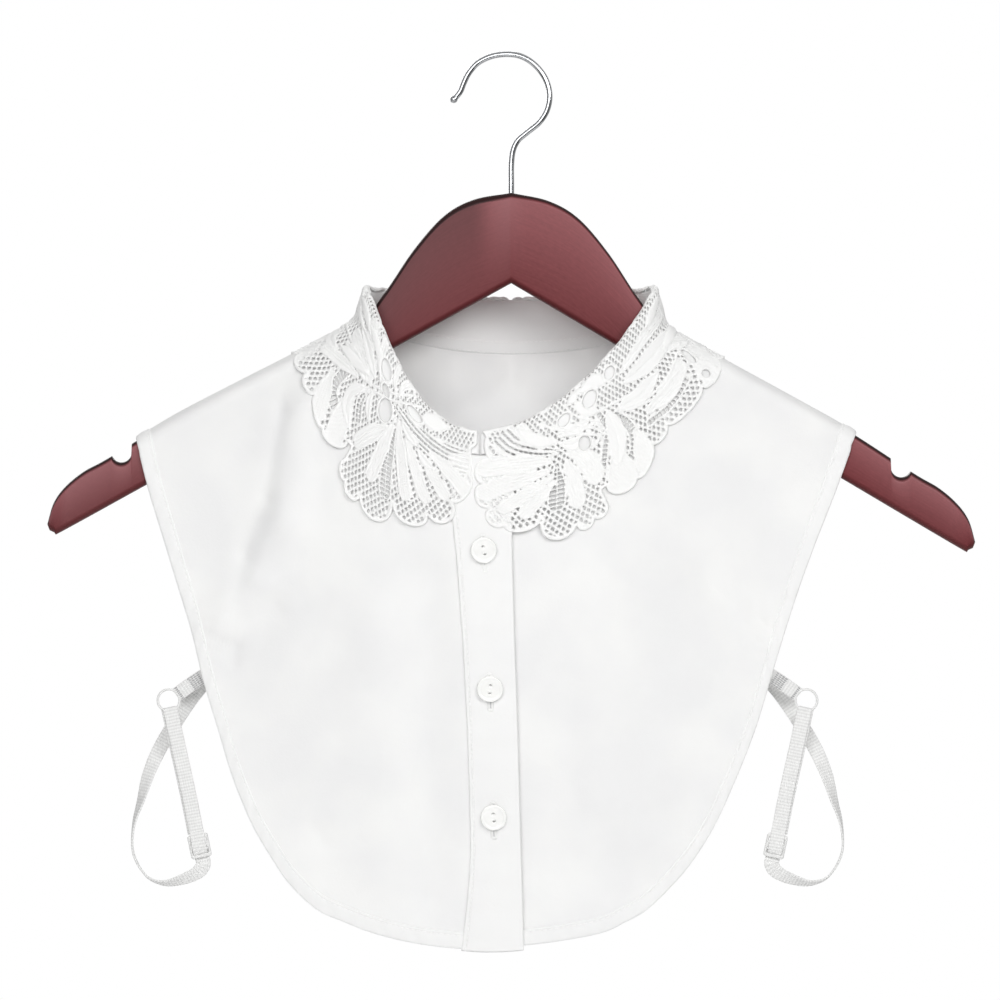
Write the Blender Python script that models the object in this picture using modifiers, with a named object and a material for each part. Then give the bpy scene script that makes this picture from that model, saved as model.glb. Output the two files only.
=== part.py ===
"""A detachable lace collar on a clothes hanger.

A half-shirt of two fronts, a buttoned front band and a back, with a stand and a heavy lace
fall, hangs on a wooden hanger with a wire hook. At each side an elastic strap with a ring
and a slider joins the front to the back. Neck, armholes and hem are open.

The origin is under the crown of the hook, +Z is up, the front faces -Y, and +X is on the
right of someone who looks at the front. Sizes are in millimetres until a mesh is made.
"""

import bpy
import bmesh
import math
import numpy as np
from mathutils import Matrix, Vector, geometry

MM = 0.001
FRONT, BACK = 1, -1
LEFT, RIGHT = -1, 1
SEAM = 0.3  # the space between two pieces that meet
FINE = 12  # points read from a smooth curve between two of its knots
MANY = 200  # points of a curve that only serves to be measured
TINY = 1e-3
GROUND_LINES, GROUND_POINTS = 61, 39  # of the surface under the lace

# The hanger: its half profile, as distance out from the stem and drop below the arch's top
HANGER_THICK = 12.0
STEM_X = 2.0
ARCH_TOP = -65.3
TILT = math.tan(math.radians(1.1))
HANGER_UPPER = (
    (0, 0), (18, 3.6), (32.4, 11.8), (46.8, 28.3), (60.7, 49), (73.4, 63.8), (105, 80.8),
    (136.8, 97.6), (163, 111.9), (193, 130.8), (205, 137.6), (214, 145.2), (219.6, 153),
    (222.7, 163.2),
)
HANGER_LOWER = (
    (0, 43.2), (70, 83.2), (140, 123.2), (212, 164.4), (218, 167.2), (221.3, 166.4), (222.7, 163.2),
)
BLUNT_FROM = 212.0  # where the arm starts to thin to its rounded end
HANGER_STATIONS = (
    0, 9, 18, 27, 36, 44, 52, 60, 67, 74, 88, 110, 140, 170, 196, 206, 213, 218, 221, 222.5,
)
NOTCH_OUT, NOTCH_RADIUS, NOTCH_SINK = 187.0, 5.0, 0.8
BORE_RADIUS, BORE_DEPTH = 1.7, 14.0

# The hook: the route of its wire, as X and Z, from the tip to the foot
WIRE_RADIUS = 1.4
HOOK_ROUTE = (
    (-26.9, -21.6), (-24.6, -19.2), (-22.4, -16.4), (-20.6, -12), (-18.2, -7.4), (-13.9, -2.7), (-7.4, 0.4),
    (0, 1.4), (7.2, 0.2), (13.6, -4.0), (18.4, -10.4), (20.4, -18), (19.2, -25.4), (15.4, -31.4),
    (9.8, -36), (5.2, -40), (2.8, -45), (2.0, -52), (2.0, -60), (2.0, -70), (2.0, -78.6),
)
HOOK_POINTS = 52
TIP_SWELL = 1.25

# The cloth
WALL = 1.2
WRAP = HANGER_THICK / 2 + SEAM + WALL / 2 + 0.5  # radius of the cloth's middle over the arms
RISE = WRAP - HANGER_THICK / 2  # of the cloth's middle above the arms
BIND_WIDTH = 8.0
BIND_WALL = 1.6
LAP_SINK = WALL + 0.4  # how far the left front lies behind the band

# The neck ring at the seam (level 0) and at the fold of the stand (level 1)
RING_X = 1.7
CENTRE_SHIFT = -14.7  # of the centre front from the ring's middle
HALF_WIDTH = (73.7, 69.4)
FRONT_REACH = (37.0, 34.0)
BACK_REACH = (33.0, 31.0)
FRONT_Z = (-191.0, -180.8)
BACK_Z = (-140.0, -118.6)
FOLD_SIDE_Z = -111.2
FALL_POWER = {LEFT: 2.3, RIGHT: 1.7}  # how the neckline falls from the side to the centre front

STAND_GAP = 0.35  # degrees, half of the stand's opening at the centre front
STAND_FOOT = (0.4, 1.2)  # the stand's foot above the seam, at the front and back and at the sides

# The outer edge: its height, and its place on the left and on the right
EDGE = (
    (-207, -172, 158), (-230, -165, 149), (-253, -158, 140.5), (-276, -151, 133), (-299, -145.5, 126),
    (-322, -138.5, 119), (-345, -131.5, 110), (-368, -122, 99.5), (-385, -112, 89), (-397, -103.5, 79),
    (-408.5, -91, 67), (-414, -79, 57.5), (-420, -63, 43.5), (-425, -41, 14),
)
TIP_X = {LEFT: -178.0, RIGHT: 167.5}
HEM_CENTRE = {LEFT: (-8.0, -428.5), RIGHT: (-8.0, -426.0)}
HEM_DEPTH = {FRONT: 15.0, BACK: 13.0}
BACK_RAISE = 8.0  # of the back's hem above the front's
BACK_SLIM = 0.975  # of the back's outline against the front's

# The front band: its height, and its left seam and right fold
BAND = (
    (-188, -27.6, 1), (-217, -26.4, 2), (-240, -24, 2.4), (-278, -21.1, 3.4), (-315, -19.2, 4.8),
    (-353, -17.8, 5.8), (-383, -17.3, 6.7), (-406, -19.2, 7.4), (-428, -22, 8),
)
LAP_FADE = 35.0
SEAM_DROP, FOLD_DROP = 0.6, 0.3  # how much of the hem's slant the band's two ends follow
BAND_START = 0.004

# Shares of the surface over which folds fade in beside the arm, the neck and the band
CALM_ARM, CALM_NECK, CALM_BAND = 0.12, 0.2, 0.1
DEPTH_POWER = 1.5  # how the edge's depth grows from the arm to the hem

# Soft ridges (+) and troughs (-): the two ends as X and Z, the half width and the depth
FOLDS = {
    FRONT: (
        ("shoulder ridge", -97, -168, -106, -222, 13, 4.0),
        ("strap pull", -106, -222, -136, -272, 11, 3.0),
        ("strap trough", -112, -262, -134, -280, 8, -2.0),
        ("hanging trough", -38, -250, -38, -400, 12, -2.6),
        ("hanging ridge", -62, -270, -60, -390, 16, 2.4),
        ("right pull", 92, -250, 122, -276, 10, -2.2),
        ("right hollow", 52, -380, 66, -398, 16, -2.4),
        ("right ridge", 44, -250, 50, -370, 18, 2.2),
    ),
    BACK: (
        ("left ridge", -66, -230, -60, -390, 16, 2.6),
        ("left trough", -34, -240, -36, -395, 12, -2.4),
        ("right ridge", 58, -225, 52, -385, 17, 2.4),
        ("right trough", 24, -250, 26, -400, 13, -2.2),
        ("left pull", -106, -246, -130, -276, 11, 2.4),
        ("right pull", 92, -240, 118, -272, 11, 2.4),
    ),
}

# The lace: a flat band on an arc, one half from the centre front (share 0) to the side (1)
# and the centre back (2). "Across" is the distance from the fold.
LACE_WALL = 1.2
LACE_LIFT = WALL / 2 + LACE_WALL / 2 + 2.0
LACE_RADIUS = 122.0
LACE_TURN = math.radians(42.5)
LACE_DEPTH = 76.0  # how far across the lace's surface is worked out
LACE_GRID = 8.0
LACE_REACH = (0.05, 0.88)  # the shares of "out" over which the lace lies on the cloth
FOLD_ROUND = 0.4  # drop at the outer corner of the lace's fold
LACE_START, LACE_END = 0.010, 1.991
# The scalloped edge from the fold at the centre front round to the fold at the centre back:
# share and distance across of each cusp, and how far the lobe after it bulges
SCALLOPS = {
    LEFT: (
        (0.010, 0, 0), (0.012, 6.0, 0.4), (0.040, 9.0, 0.5), (0.038, 21.5, 3.6), (0.105, 36.0, 6.0),
        (0.190, 47.0, 6.5), (0.330, 52.5, 8.5), (0.460, 63.0, 4.0), (0.540, 64.0, 3.2), (0.584, 57.0, 0),
        (0.582, 50.5, 0), (0.600, 50.5, 4.6), (0.715, 58.0, 2.5), (0.810, 52.5, 3.5),
        (0.885, 50.0, 4.0),
    ),
    RIGHT: (
        (0.010, 0, 0), (0.024, 3.0, 1.0), (0.030, 13.0, 4.2), (0.002, 25.0, 4.0), (0.020, 37.0, 4.0),
        (0.065, 46.5, 4.2), (0.185, 47.0, 8.0), (0.285, 57.5, 3.6), (0.345, 58.5, 3.2), (0.403, 56.0, 0),
        (0.400, 49.0, 0), (0.419, 49.0, 4.8), (0.525, 56.0, 3.8), (0.625, 48.5, 3.0),
        (0.705, 47.5, 3.4), (0.860, 49.5, 4.6),
    ),
}
SCALLOPS_BEHIND = (
    (0.962, 48, 4.5), (1.050, 46, 6.0), (1.170, 50, 7.0), (1.310, 54, 6.5), (1.440, 50, 7.0),
    (1.570, 50, 6.5), (1.700, 52, 6.5), (1.820, 48, 6.0), (1.920, 42, 3.5), (LACE_END, 38, 0),
)
CHORD = 2.6  # between two points of a lobe's edge
# Windows cut through: share, distance across, length, width, and how far they are turned
WINDOWS = {
    LEFT: ((0.585, 10, 8.4, 7.6, 20), (0.505, 22.5, 10.0, 8.6, 60), (0.350, 9.5, 9.6, 4.4, 10)),
    RIGHT: (
        (0.485, 10, 7.2, 6.4, 60), (0.600, 7.5, 6.0, 4.6, 60), (0.355, 10, 5.4, 5.0, 0),
        (0.405, 25.5, 6.4, 5.0, 80),
    ),
}
WINDOWS_BEHIND = (
    (1.120, 11, 8.4, 7.0, 20), (1.200, 24, 10.0, 8.0, 60), (1.360, 12, 8.0, 5.0, 10),
    (1.520, 11, 8.4, 7.0, 20), (1.600, 24, 10.0, 8.0, 60), (1.780, 12, 8.0, 5.0, 10),
)

# Buttons: the height of each middle, and their common sizes
BUTTON_HEIGHTS = (-236.2, -302.4, -363.8)
BUTTON_PROFILE = ((0, 1.4), (4.3, 1.4), (5.0, 2.0), (5.8, 2.0), (6.25, 1.5), (6.25, 0.6), (5.7, 0), (0, 0))
BUTTON_HOLE_RADIUS, BUTTON_HOLE_SPACING = 0.9, 3.6
BUTTON_THICK = 2.0
BUTTON_SEAT = 5.0  # the distance down the band over which its slope is read
BUTTON_TURN = {0: 12, 1: -8, 2: 6}

# The straps, mirrored about STRAP_MIDDLE: X and Z are those of the left side
STRAP_MIDDLE = -9.4
ELASTIC_WIDTH, ELASTIC_WALL = 7.0, 1.2
RING_PLACE, RING_RADIUS, RING_WIRE = (-162.2, -4.0, -308.6), 5.25, 0.55
TAB_ROUTE = ((-142.5, -6.9, -295.4, 0), (-148, -6.0, -298.6, 0), (-156.8, -4.3, -304.6, 0))
STRAP_ROUTE = (
    (-161.0, -4.0, -315.2, 0), (-157.5, -3.2, -331, 0), (-152.5, -2, -354, 0), (-148.9, -1, -372.5, 0),
)
SLIDER_PLACE, SLIDER_TURN = (-147.6, -1.0, -378.6), 12
SLIDER_SIZE, SLIDER_SLOT, SLIDER_BAR, SLIDER_THICK = (10.0, 11.5), (7.4, 2.9), 1.8, 1.6
LOOP_ROUTE = (
    (-146.2, -1.0, -384.9, 0), (-145.7, -0.9, -387.4, 0), (-148.6, -0.2, -391.4, 20),
    (-156.5, 0.8, -395, 45),
    (-165.2, 1.8, -396.6, 70), (-173.5, 2.2, -393, 84),
    (-179.6, 2.2, -382, 88), (-179.4, 2.4, -369, 80), (-176, 3.2, -357, 60), (-172.2, 4.6, -344, 30),
    (-166.6, 6.0, -331.4, 10), (-158.6, 6.8, -318, 0), (-150.6, 6.6, -306.4, 0), (-142.6, 6.0, -296.8, 0),
)


def spaced(path, shares):
    """Points at these shares of the length of a path of points."""
    steps = np.linalg.norm(np.diff(path, axis=0), axis=1)
    run = np.concatenate([[0], np.cumsum(steps)]) / steps.sum()
    return np.stack([np.interp(shares, run, column) for column in path.T], axis=-1)


def smooth_path(knots, count):
    """Evenly spaced points on a Catmull-Rom curve through the knots."""
    knots = np.asarray(knots, float)
    ends = np.vstack([2 * knots[0] - knots[1], knots, 2 * knots[-1] - knots[-2]])
    p, q, r, s = (ends[k : len(ends) - 3 + k, None] for k in range(4))
    u = np.linspace(0, 1, FINE, endpoint=False)[:, None]
    curve = 2 * q + (r - p) * u + (2 * p - 5 * q + 4 * r - s) * u**2 + (3 * q - p - 3 * r + s) * u**3
    curve = np.vstack([curve.reshape(-1, knots.shape[1]) / 2, knots[-1]])
    return spaced(curve, np.linspace(0, 1, count))


def smooth(share):
    """0 below 0, 1 above 1, and a soft step between."""
    share = np.clip(share, 0, 1)
    return share * share * (3 - 2 * share)


def unit(vectors):
    """The vectors, each scaled to length 1."""
    return vectors / np.linalg.norm(vectors, axis=-1, keepdims=True)


# Meshes, objects and materials


def material(name, colour, roughness, metallic=0.0):
    """A plain Principled material."""
    made = bpy.data.materials.new(name)
    made.use_nodes = True
    shader = made.node_tree.nodes["Principled BSDF"]
    shader.inputs["Base Color"].default_value = (*colour, 1)
    shader.inputs["Roughness"].default_value = roughness
    shader.inputs["Metallic"].default_value = metallic
    return made


def new_object(name, points, edges, faces, finish, collection):
    """An object from points in millimetres."""
    mesh = bpy.data.meshes.new(name)
    mesh.from_pydata((np.asarray(points, float) * MM).tolist(), edges, faces)
    mesh.materials.append(finish)
    mesh.shade_smooth()
    made = bpy.data.objects.new(name, mesh)
    collection.objects.link(made)
    return made


def grid_faces(rows, columns, wrap=False):
    """Quads of a grid of points, whose last column joins the first where it wraps."""
    last = columns if wrap else columns - 1
    faces = []
    for low in range(0, (rows - 1) * columns, columns):
        high = low + columns
        for here in range(last):
            there = (here + 1) % columns
            faces.append((low + here, low + there, high + there, high + here))
    return faces


def sheet(name, grid, thick, finish, collection):
    """A wall of this thickness about a grid of middle points."""
    rows, columns = grid.shape[:2]
    made = new_object(name, grid.reshape(-1, 3), [], grid_faces(rows, columns), finish, collection)
    thicken(made, thick)
    return made


def thicken(target, thick):
    """Give an open surface a wall, half on each side."""
    wall = target.modifiers.new("Wall", "SOLIDIFY")
    wall.thickness = thick * MM
    wall.offset = 0


def wire(name, path, radius, finish, collection, swell=()):
    """A round wire along a path; swell gives the radius factors of its first points."""
    data = bpy.data.curves.new(name, "CURVE")
    data.dimensions = "3D"
    data.bevel_depth = radius * MM
    data.bevel_resolution = 2
    data.use_fill_caps = True
    spline = data.splines.new("POLY")
    spline.points.add(len(path) - 1)
    for point, place in zip(spline.points, path * MM):
        point.co = (*place, 1)
    for point, factor in zip(spline.points, swell):
        point.radius = factor
    data.materials.append(finish)
    made = bpy.data.objects.new(name, data)
    collection.objects.link(made)
    return made


def cut_hole(target, name, place, axis, radius, depth, cutters):
    """Cut a round hole through a target with a hidden cylinder."""
    mesh = bpy.data.meshes.new(name)
    cage = bmesh.new()
    bmesh.ops.create_cone(
        cage, cap_ends=True, segments=16, radius1=radius * MM, radius2=radius * MM, depth=depth * MM
    )
    cage.to_mesh(mesh)
    cage.free()
    cutter = bpy.data.objects.new(name, mesh)
    cutter.rotation_euler = Vector((0, 0, 1)).rotation_difference(Vector(axis)).to_euler()
    cutter.location = Vector(place) * MM
    cutter.hide_render = True
    cutter.display_type = "WIRE"
    cutters.objects.link(cutter)
    hole = target.modifiers.new(name, "BOOLEAN")
    hole.operation = "DIFFERENCE"
    hole.object = cutter


# The hanger and its hook


def profile(table, out):
    """Drop below the arch's top at a distance out from the stem."""
    curve = smooth_path(table, FINE * len(table))
    return np.interp(out, curve[:, 0], curve[:, 1])


def hanger_top(x):
    """Height of the hanger's upper edge at X."""
    return ARCH_TOP - profile(HANGER_UPPER, np.abs(x - STEM_X)) - TILT * (x - STEM_X)


def hanger_low(x):
    """Height of the hanger's lower edge at X."""
    return ARCH_TOP - profile(HANGER_LOWER, np.abs(x - STEM_X)) - TILT * (x - STEM_X)


def make_hanger(finish, collection, cutters):
    """Upright slices with round top and bottom edges, lofted from tip to tip."""
    out = np.array(HANGER_STATIONS, float)
    x = STEM_X + np.concatenate([-out[:0:-1], out])
    top, low = hanger_top(x), hanger_low(x)
    blunt = np.clip((np.abs(x - STEM_X) - BLUNT_FROM) / (HANGER_UPPER[-1][0] - BLUNT_FROM), 0, 1)
    half = HANGER_THICK / 2 * np.sqrt(1 - blunt**2)
    round_z = np.minimum(half, (top - low) / 2)
    turn = np.radians((-90, -60, -30, 0, 30, 60, 90))
    upper_y, upper_z = np.outer(half, np.sin(turn)), top[:, None] - np.outer(round_z, 1 - np.cos(turn))
    lower_y, lower_z = -upper_y, low[:, None] + np.outer(round_z, 1 - np.cos(turn))
    y, z = np.hstack([upper_y, lower_y]), np.hstack([upper_z, lower_z])
    points = np.stack([np.broadcast_to(x[:, None], y.shape), y, z], axis=-1)
    rows, columns = y.shape
    faces = grid_faces(rows, columns, wrap=True)
    faces += [tuple(range(columns))[::-1], tuple(range((rows - 1) * columns, rows * columns))]
    made = new_object("hanger", points.reshape(-1, 3), [], faces, finish, collection)
    weld_outwards(made)
    bore = (STEM_X, 0, ARCH_TOP)
    cut_hole(made, "hook bore", bore, (0, 0, 1), BORE_RADIUS, 2 * BORE_DEPTH, cutters)
    for side, name in ((LEFT, "left notch"), (RIGHT, "right notch")):
        x_notch = STEM_X + side * NOTCH_OUT
        place = (x_notch, 0, float(hanger_top(x_notch)) - NOTCH_SINK)
        cut_hole(made, name, place, (0, 1, 0), NOTCH_RADIUS, 2 * HANGER_THICK, cutters)


def weld_outwards(target):
    """Merge points that coincide and turn every face outwards."""
    cage = bmesh.new()
    cage.from_mesh(target.data)
    bmesh.ops.remove_doubles(cage, verts=cage.verts, dist=0.01 * MM)
    bmesh.ops.recalc_face_normals(cage, faces=cage.faces)
    cage.to_mesh(target.data)
    cage.free()


def make_hook(finish, collection):
    """One bent wire with a small bulb at its tip, whose foot stands in the hanger's bore."""
    route = smooth_path(HOOK_ROUTE, HOOK_POINTS)
    path = np.stack([route[:, 0], np.zeros(len(route)), route[:, 1]], axis=-1)
    wire("hook", path, WIRE_RADIUS, finish, collection, swell=(0.6, TIP_SWELL, 1.1))


# The neck ring and the cloth's middle surface


def neck(side, turn, level):
    """The ring at a turn from the centre front (0) to the centre back (180 degrees)."""
    turn, level = np.broadcast_arrays(np.radians(turn), np.asarray(level, float))
    cosine, front = np.cos(turn), np.cos(turn) > 0

    def between(pair):
        return pair[0] + (pair[1] - pair[0]) * level

    seam_side = hanger_top(RING_X + side * HALF_WIDTH[0]) + RISE
    side_z = between((seam_side, FOLD_SIDE_Z))
    x = RING_X + CENTRE_SHIFT * np.where(front, cosine**2, 0) + side * between(HALF_WIDTH) * np.sin(turn)
    y = np.where(front, -between(FRONT_REACH), -between(BACK_REACH)) * cosine
    fall = np.where(front, np.abs(cosine) ** FALL_POWER[side], cosine**2)
    z = side_z - (side_z - np.where(front, between(FRONT_Z), between(BACK_Z))) * fall
    return np.stack([x, y, z], axis=-1)


def outer_edge(side, face):
    """The outer edge from the shoulder tip to the hem's centre, as X and Z."""
    column = 1 if side == LEFT else 2
    tip = TIP_X[side]
    knots = [(row[column], row[0]) for row in EDGE]
    path = smooth_path([(tip, float(hanger_top(tip)) + RISE), *knots, HEM_CENTRE[side]], MANY)
    if face == BACK:
        middle = HEM_CENTRE[side][0]
        drop = (path[0, 1] - path[:, 1]) / (path[0, 1] - path[-1, 1])
        slim = 1 - (1 - BACK_SLIM) * smooth(drop * 4)
        path = np.stack([middle + (path[:, 0] - middle) * slim, path[:, 1] + BACK_RAISE * drop], axis=-1)
    return path


def centre_x(face, z):
    """Where the centre line lies at a height."""
    if face == BACK:
        share = smooth((BACK_Z[0] - z) / (BACK_Z[0] - HEM_CENTRE[LEFT][1]))
        return RING_X + (HEM_CENTRE[LEFT][0] - RING_X) * share
    return (band_edge(z, 1) + band_edge(z, 2)) / 2


def fold_height(face, x, z):
    """How far the folds lift the cloth at X and Z."""
    total = np.zeros_like(x)
    for _, x0, z0, x1, z1, width, height in FOLDS[face]:
        along_x, along_z = x1 - x0, z1 - z0
        share = np.clip(((x - x0) * along_x + (z - z0) * along_z) / (along_x**2 + along_z**2), 0, 1)
        away = np.hypot(x - x0 - share * along_x, z - z0 - share * along_z)
        total += height * np.exp(-((away / width) ** 2))
    return total


def quarter(side, face):
    """One quarter of the garment's middle surface, as a function of two shares.

    "Round" runs from the shoulder seam (0) to the centre line (1) along the neck seam, and
    "out" from the neck seam (0) to the outer edge (1). The first stretch of "round" lies on
    the hanger's arm as a quarter circle. Below it the surface is a Coons patch between that
    circle's end, the neck seam, the outer edge and the centre line.
    """
    centre_turn = 0 if face == FRONT else 180
    turns = np.linspace(90, centre_turn, MANY)
    seam = neck(side, turns, 0)
    shares = np.concatenate([[0], np.cumsum(np.linalg.norm(np.diff(seam, axis=0), axis=1))])
    shares /= shares[-1]
    wrap_end = np.interp(WRAP, np.abs(seam[:, 1]), shares)
    edge = outer_edge(side, face)
    edge_drop = edge[0, 1] - edge[:, 1]
    wrap_row = int(np.searchsorted(edge_drop, WRAP))
    lower_edge = np.vstack([[np.interp(WRAP, edge_drop, edge[:, 0]), edge[0, 1] - WRAP], edge[wrap_row:]])

    def on_seam(around):
        return np.stack([np.interp(around, shares, column) for column in seam.T], axis=-1)

    def on_arm(around, out):
        start = on_seam(around)
        lean = np.arcsin(np.clip(np.abs(start[..., 1]) / WRAP, 0, 1))
        sink = WRAP * (1 - np.cos(lean))
        end_x = np.interp(sink, edge_drop, edge[:, 0])
        x = start[..., 0] + (end_x - start[..., 0]) * out
        lifted = start[..., 2] - (hanger_top(start[..., 0]) + RISE - sink)
        z = hanger_top(x) + RISE - sink + lifted * (1 - smooth(out / CALM_NECK))
        return np.stack([x, -face * WRAP * np.sin(lean), z], axis=-1)

    def on_edge(down):
        flat = spaced(lower_edge, down)
        depth = WRAP + (HEM_DEPTH[face] - WRAP) * down**DEPTH_POWER
        return np.stack([flat[..., 0], -face * depth, flat[..., 1]], axis=-1)

    def on_centre(out):
        top, low = seam[-1], on_edge(np.array(1.0))
        z = top[2] + (low[2] - top[2]) * out
        x = centre_x(face, z)
        x = x + (top[0] - centre_x(face, top[2])) * (1 - out) + (low[0] - centre_x(face, low[2])) * out
        return np.stack([x, top[1] + (low[1] - top[1]) * out, z], axis=-1)

    def surface(around, out):
        around, out = np.broadcast_arrays(np.asarray(around, float), np.asarray(out, float))
        down = np.clip((around - wrap_end) / (1 - wrap_end), 0, 1)
        s, t = down[..., None], out[..., None]
        arm = [on_arm(wrap_end, np.array(share)) for share in (0.0, 1.0)]
        centre = [on_centre(np.array(share)) for share in (0.0, 1.0)]
        flat = (1 - s) * ((1 - t) * arm[0] + t * arm[1]) + s * ((1 - t) * centre[0] + t * centre[1])
        lower = (
            (1 - t) * on_seam(wrap_end + (1 - wrap_end) * down) + t * on_edge(down)
            + (1 - s) * on_arm(np.full_like(out, wrap_end), out) + s * on_centre(out) - flat
        )
        upper = on_arm(np.minimum(around, wrap_end), out)
        points = np.where((around <= wrap_end)[..., None], upper, lower)
        calm = smooth(down / CALM_ARM) * smooth(out / CALM_NECK)
        if face == FRONT:
            calm = calm * (1 - smooth((around - 1 + CALM_BAND) / CALM_BAND))
        points[..., 1] -= face * calm * fold_height(face, points[..., 0], points[..., 2])
        return points

    return surface, wrap_end


def round_rows(wrap_end, count, gap):
    """Shares from the shoulder seam to the centre: even turns on the arm, then even steps."""
    lean = np.radians((0, 22.5, 45, 67.5, 90))
    on_arm = wrap_end * np.sin(lean)
    on_arm[0] = wrap_end * gap / WRAP
    return np.concatenate([on_arm, np.linspace(wrap_end, 1, count + 1)[1:]])


def bound_share(surface, around, width):
    """The share of "out" that lies this far in from the outer edge, for each row."""
    out = np.linspace(0.6, 1, MANY)
    rows = surface(np.asarray(around)[:, None], out[None, :])
    steps = np.linalg.norm(np.diff(rows, axis=1), axis=2)
    left = np.cumsum(steps[:, ::-1], axis=1)[:, ::-1]
    return np.array([np.interp(-width, -row, out[:-1]) for row in left])


def band_edge(z, column):
    """Where the band's seam (1) or fold (2) lies at a height."""
    table = np.array(BAND)
    return np.interp(-np.asarray(z), -table[:, 0], table[:, column])


def band_share(surface, out, column, clear):
    """The share of "round" at the band's seam or fold, for each share of "out"."""
    around = np.linspace(0.6, 1, MANY)
    points = surface(around[:, None], np.asarray(out)[None, :])
    beyond = points[..., 0] - band_edge(points[..., 2], column) - clear
    side = 1 if column == 1 else -1
    return np.array([np.interp(0, side * beyond[:, k], around) for k in range(beyond.shape[1])])


# The fronts, the back, the band and the bindings

ROWS, COLUMNS = 15, 12
LIMITS = 30  # places down the band at which the right front's edge is worked out
SEAM_HOLD = 4  # how quickly that edge's shift fades away from the band


def lap_sink(points):
    """The left front lies behind the band by this much, fading out beside it."""
    beside = points[..., 0] - band_edge(points[..., 2], 2)
    sunk = points.copy()
    sunk[..., 1] += LAP_SINK * (1 - smooth((beside - 1) / LAP_FADE))
    return sunk


def panel_and_binding(side, face, bind_columns=2):
    """Grids of one quarter's cloth and of the turned edge beside it."""
    surface, wrap_end = quarter(side, face)
    rows = round_rows(wrap_end, ROWS, SEAM / 2)
    inner = bound_share(surface, rows, BIND_WIDTH + SEAM)
    start = bound_share(surface, rows, BIND_WIDTH)
    at_band = side == LEFT and face == FRONT
    downs = np.linspace(0, 1, LIMITS)
    limit = band_share(surface, downs, 1, -SEAM) if at_band else np.ones(LIMITS)

    def grid(out):
        shift = (np.interp(out, downs, limit) - 1) * rows[:, None] ** SEAM_HOLD
        points = surface(rows[:, None] + shift, out)
        return lap_sink(points) if side == RIGHT and face == FRONT else points

    panel = grid(inner[:, None] * np.linspace(0, 1, COLUMNS)[None, :])
    edge_share = np.linspace(0, 1, bind_columns + 1)[None, :]
    return panel, grid(start[:, None] + (1 - start[:, None]) * edge_share)


def make_cloth(finish, bound, collection):
    """Two fronts and a one-piece back, each with its turned edge."""
    for side, name in ((LEFT, "right"), (RIGHT, "left")):
        panel, binding = panel_and_binding(side, FRONT)
        sheet(f"front_{name}", panel, WALL, finish, collection)
        sheet(f"binding_front_{name}", binding, BIND_WALL, bound, collection)
    left, left_edge = panel_and_binding(LEFT, BACK)
    right, right_edge = panel_and_binding(RIGHT, BACK)
    sheet("back_panel", np.concatenate([left, right[-2::-1]]), WALL, finish, collection)
    sheet("binding_back", np.concatenate([left_edge, right_edge[-2::-1]]), BIND_WALL, bound, collection)


def band_surface():
    """The band's middle as a function of shares across it and down it."""
    left, right = quarter(LEFT, FRONT)[0], quarter(RIGHT, FRONT)[0]
    down = np.linspace(0, 1, 25)
    seam = left(band_share(left, down, 1, 0), down)
    middle = left(np.ones_like(down), down)
    fold = right(band_share(right, down, 2, 0), down)
    for line, share in ((seam, SEAM_DROP), (fold, FOLD_DROP)):
        line[:, 2] = middle[:, 2] + (line[:, 2] - middle[:, 2]) * share

    def surface(across, along):
        across, along = np.broadcast_arrays(np.asarray(across, float), np.asarray(along, float))
        u = across[..., None]
        total = 0
        for line, weight in ((seam, (1 - u) * (1 - 2 * u)), (middle, 4 * u * (1 - u)), (fold, u * (2 * u - 1))):
            total = total + weight * np.stack([np.interp(along, down, c) for c in line.T], axis=-1)
        return total

    return surface


def make_band(finish, collection):
    """The folded front band, on the right front's edge and over the left front."""
    surface = band_surface()
    across, along = np.linspace(0, 1, 5), np.linspace(BAND_START, 1, 20)
    sheet("front_band", surface(across[None, :], along[:, None]), WALL, finish, collection)


def make_stand(finish, collection):
    """The strip round the neck, from the seam to just under the lace's fold."""
    turns = np.linspace(STAND_GAP, 180, 20)
    grid = []
    for side in (LEFT, RIGHT):
        low = neck(side, turns, 0)
        high = neck(side, turns, 1)
        rise = np.linalg.norm(high - low, axis=1)
        start = (STAND_FOOT[0] + (STAND_FOOT[1] - STAND_FOOT[0]) * np.sin(np.radians(turns)) ** 2) / rise
        column = [neck(side, turns, start + (1 - start) * share) for share in (0, 0.5, 1)]
        grid.append(np.stack(column, axis=1))
    whole = np.concatenate([grid[0], grid[1][-2::-1]])
    sheet("collar_stand", whole, WALL, finish, collection)


# The lace


def lace_ground(side):
    """The lace's middle points over one side, by share round the neck and distance across.

    Each line across starts above the stand's fold, goes down outside the stand and on over
    the cloth, a fixed lift away from both, and is then smoothed.
    """
    lines = []
    surfaces = {FRONT: quarter(side, FRONT)[0], BACK: quarter(side, BACK)[0]}
    for share in np.linspace(0, 2, GROUND_LINES):
        face = FRONT if share <= 1 else BACK
        around = 1 - share if face == FRONT else share - 1
        lines.append(lace_line(side, face, around, surfaces[face]))
    ground = np.array(lines)
    for _ in range(2):
        ground[1:-1] = (ground[:-2] + 2 * ground[1:-1] + ground[2:]) / 4
    return ground


def read_ground(ground, share, across):
    """Places on the lace's ground, linear between its points."""
    rows, columns = ground.shape[:2]
    row = np.clip(share / 2 * (rows - 1), 0, rows - 1 - TINY)
    column = np.clip(across / LACE_DEPTH * (columns - 1), 0, columns - 1 - TINY)
    i, j = row.astype(int), column.astype(int)
    u, v = (row - i)[..., None], (column - j)[..., None]
    near = ground[i, j] * (1 - v) + ground[i, j + 1] * v
    far = ground[i + 1, j] * (1 - v) + ground[i + 1, j + 1] * v
    return near * (1 - u) + far * u


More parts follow.
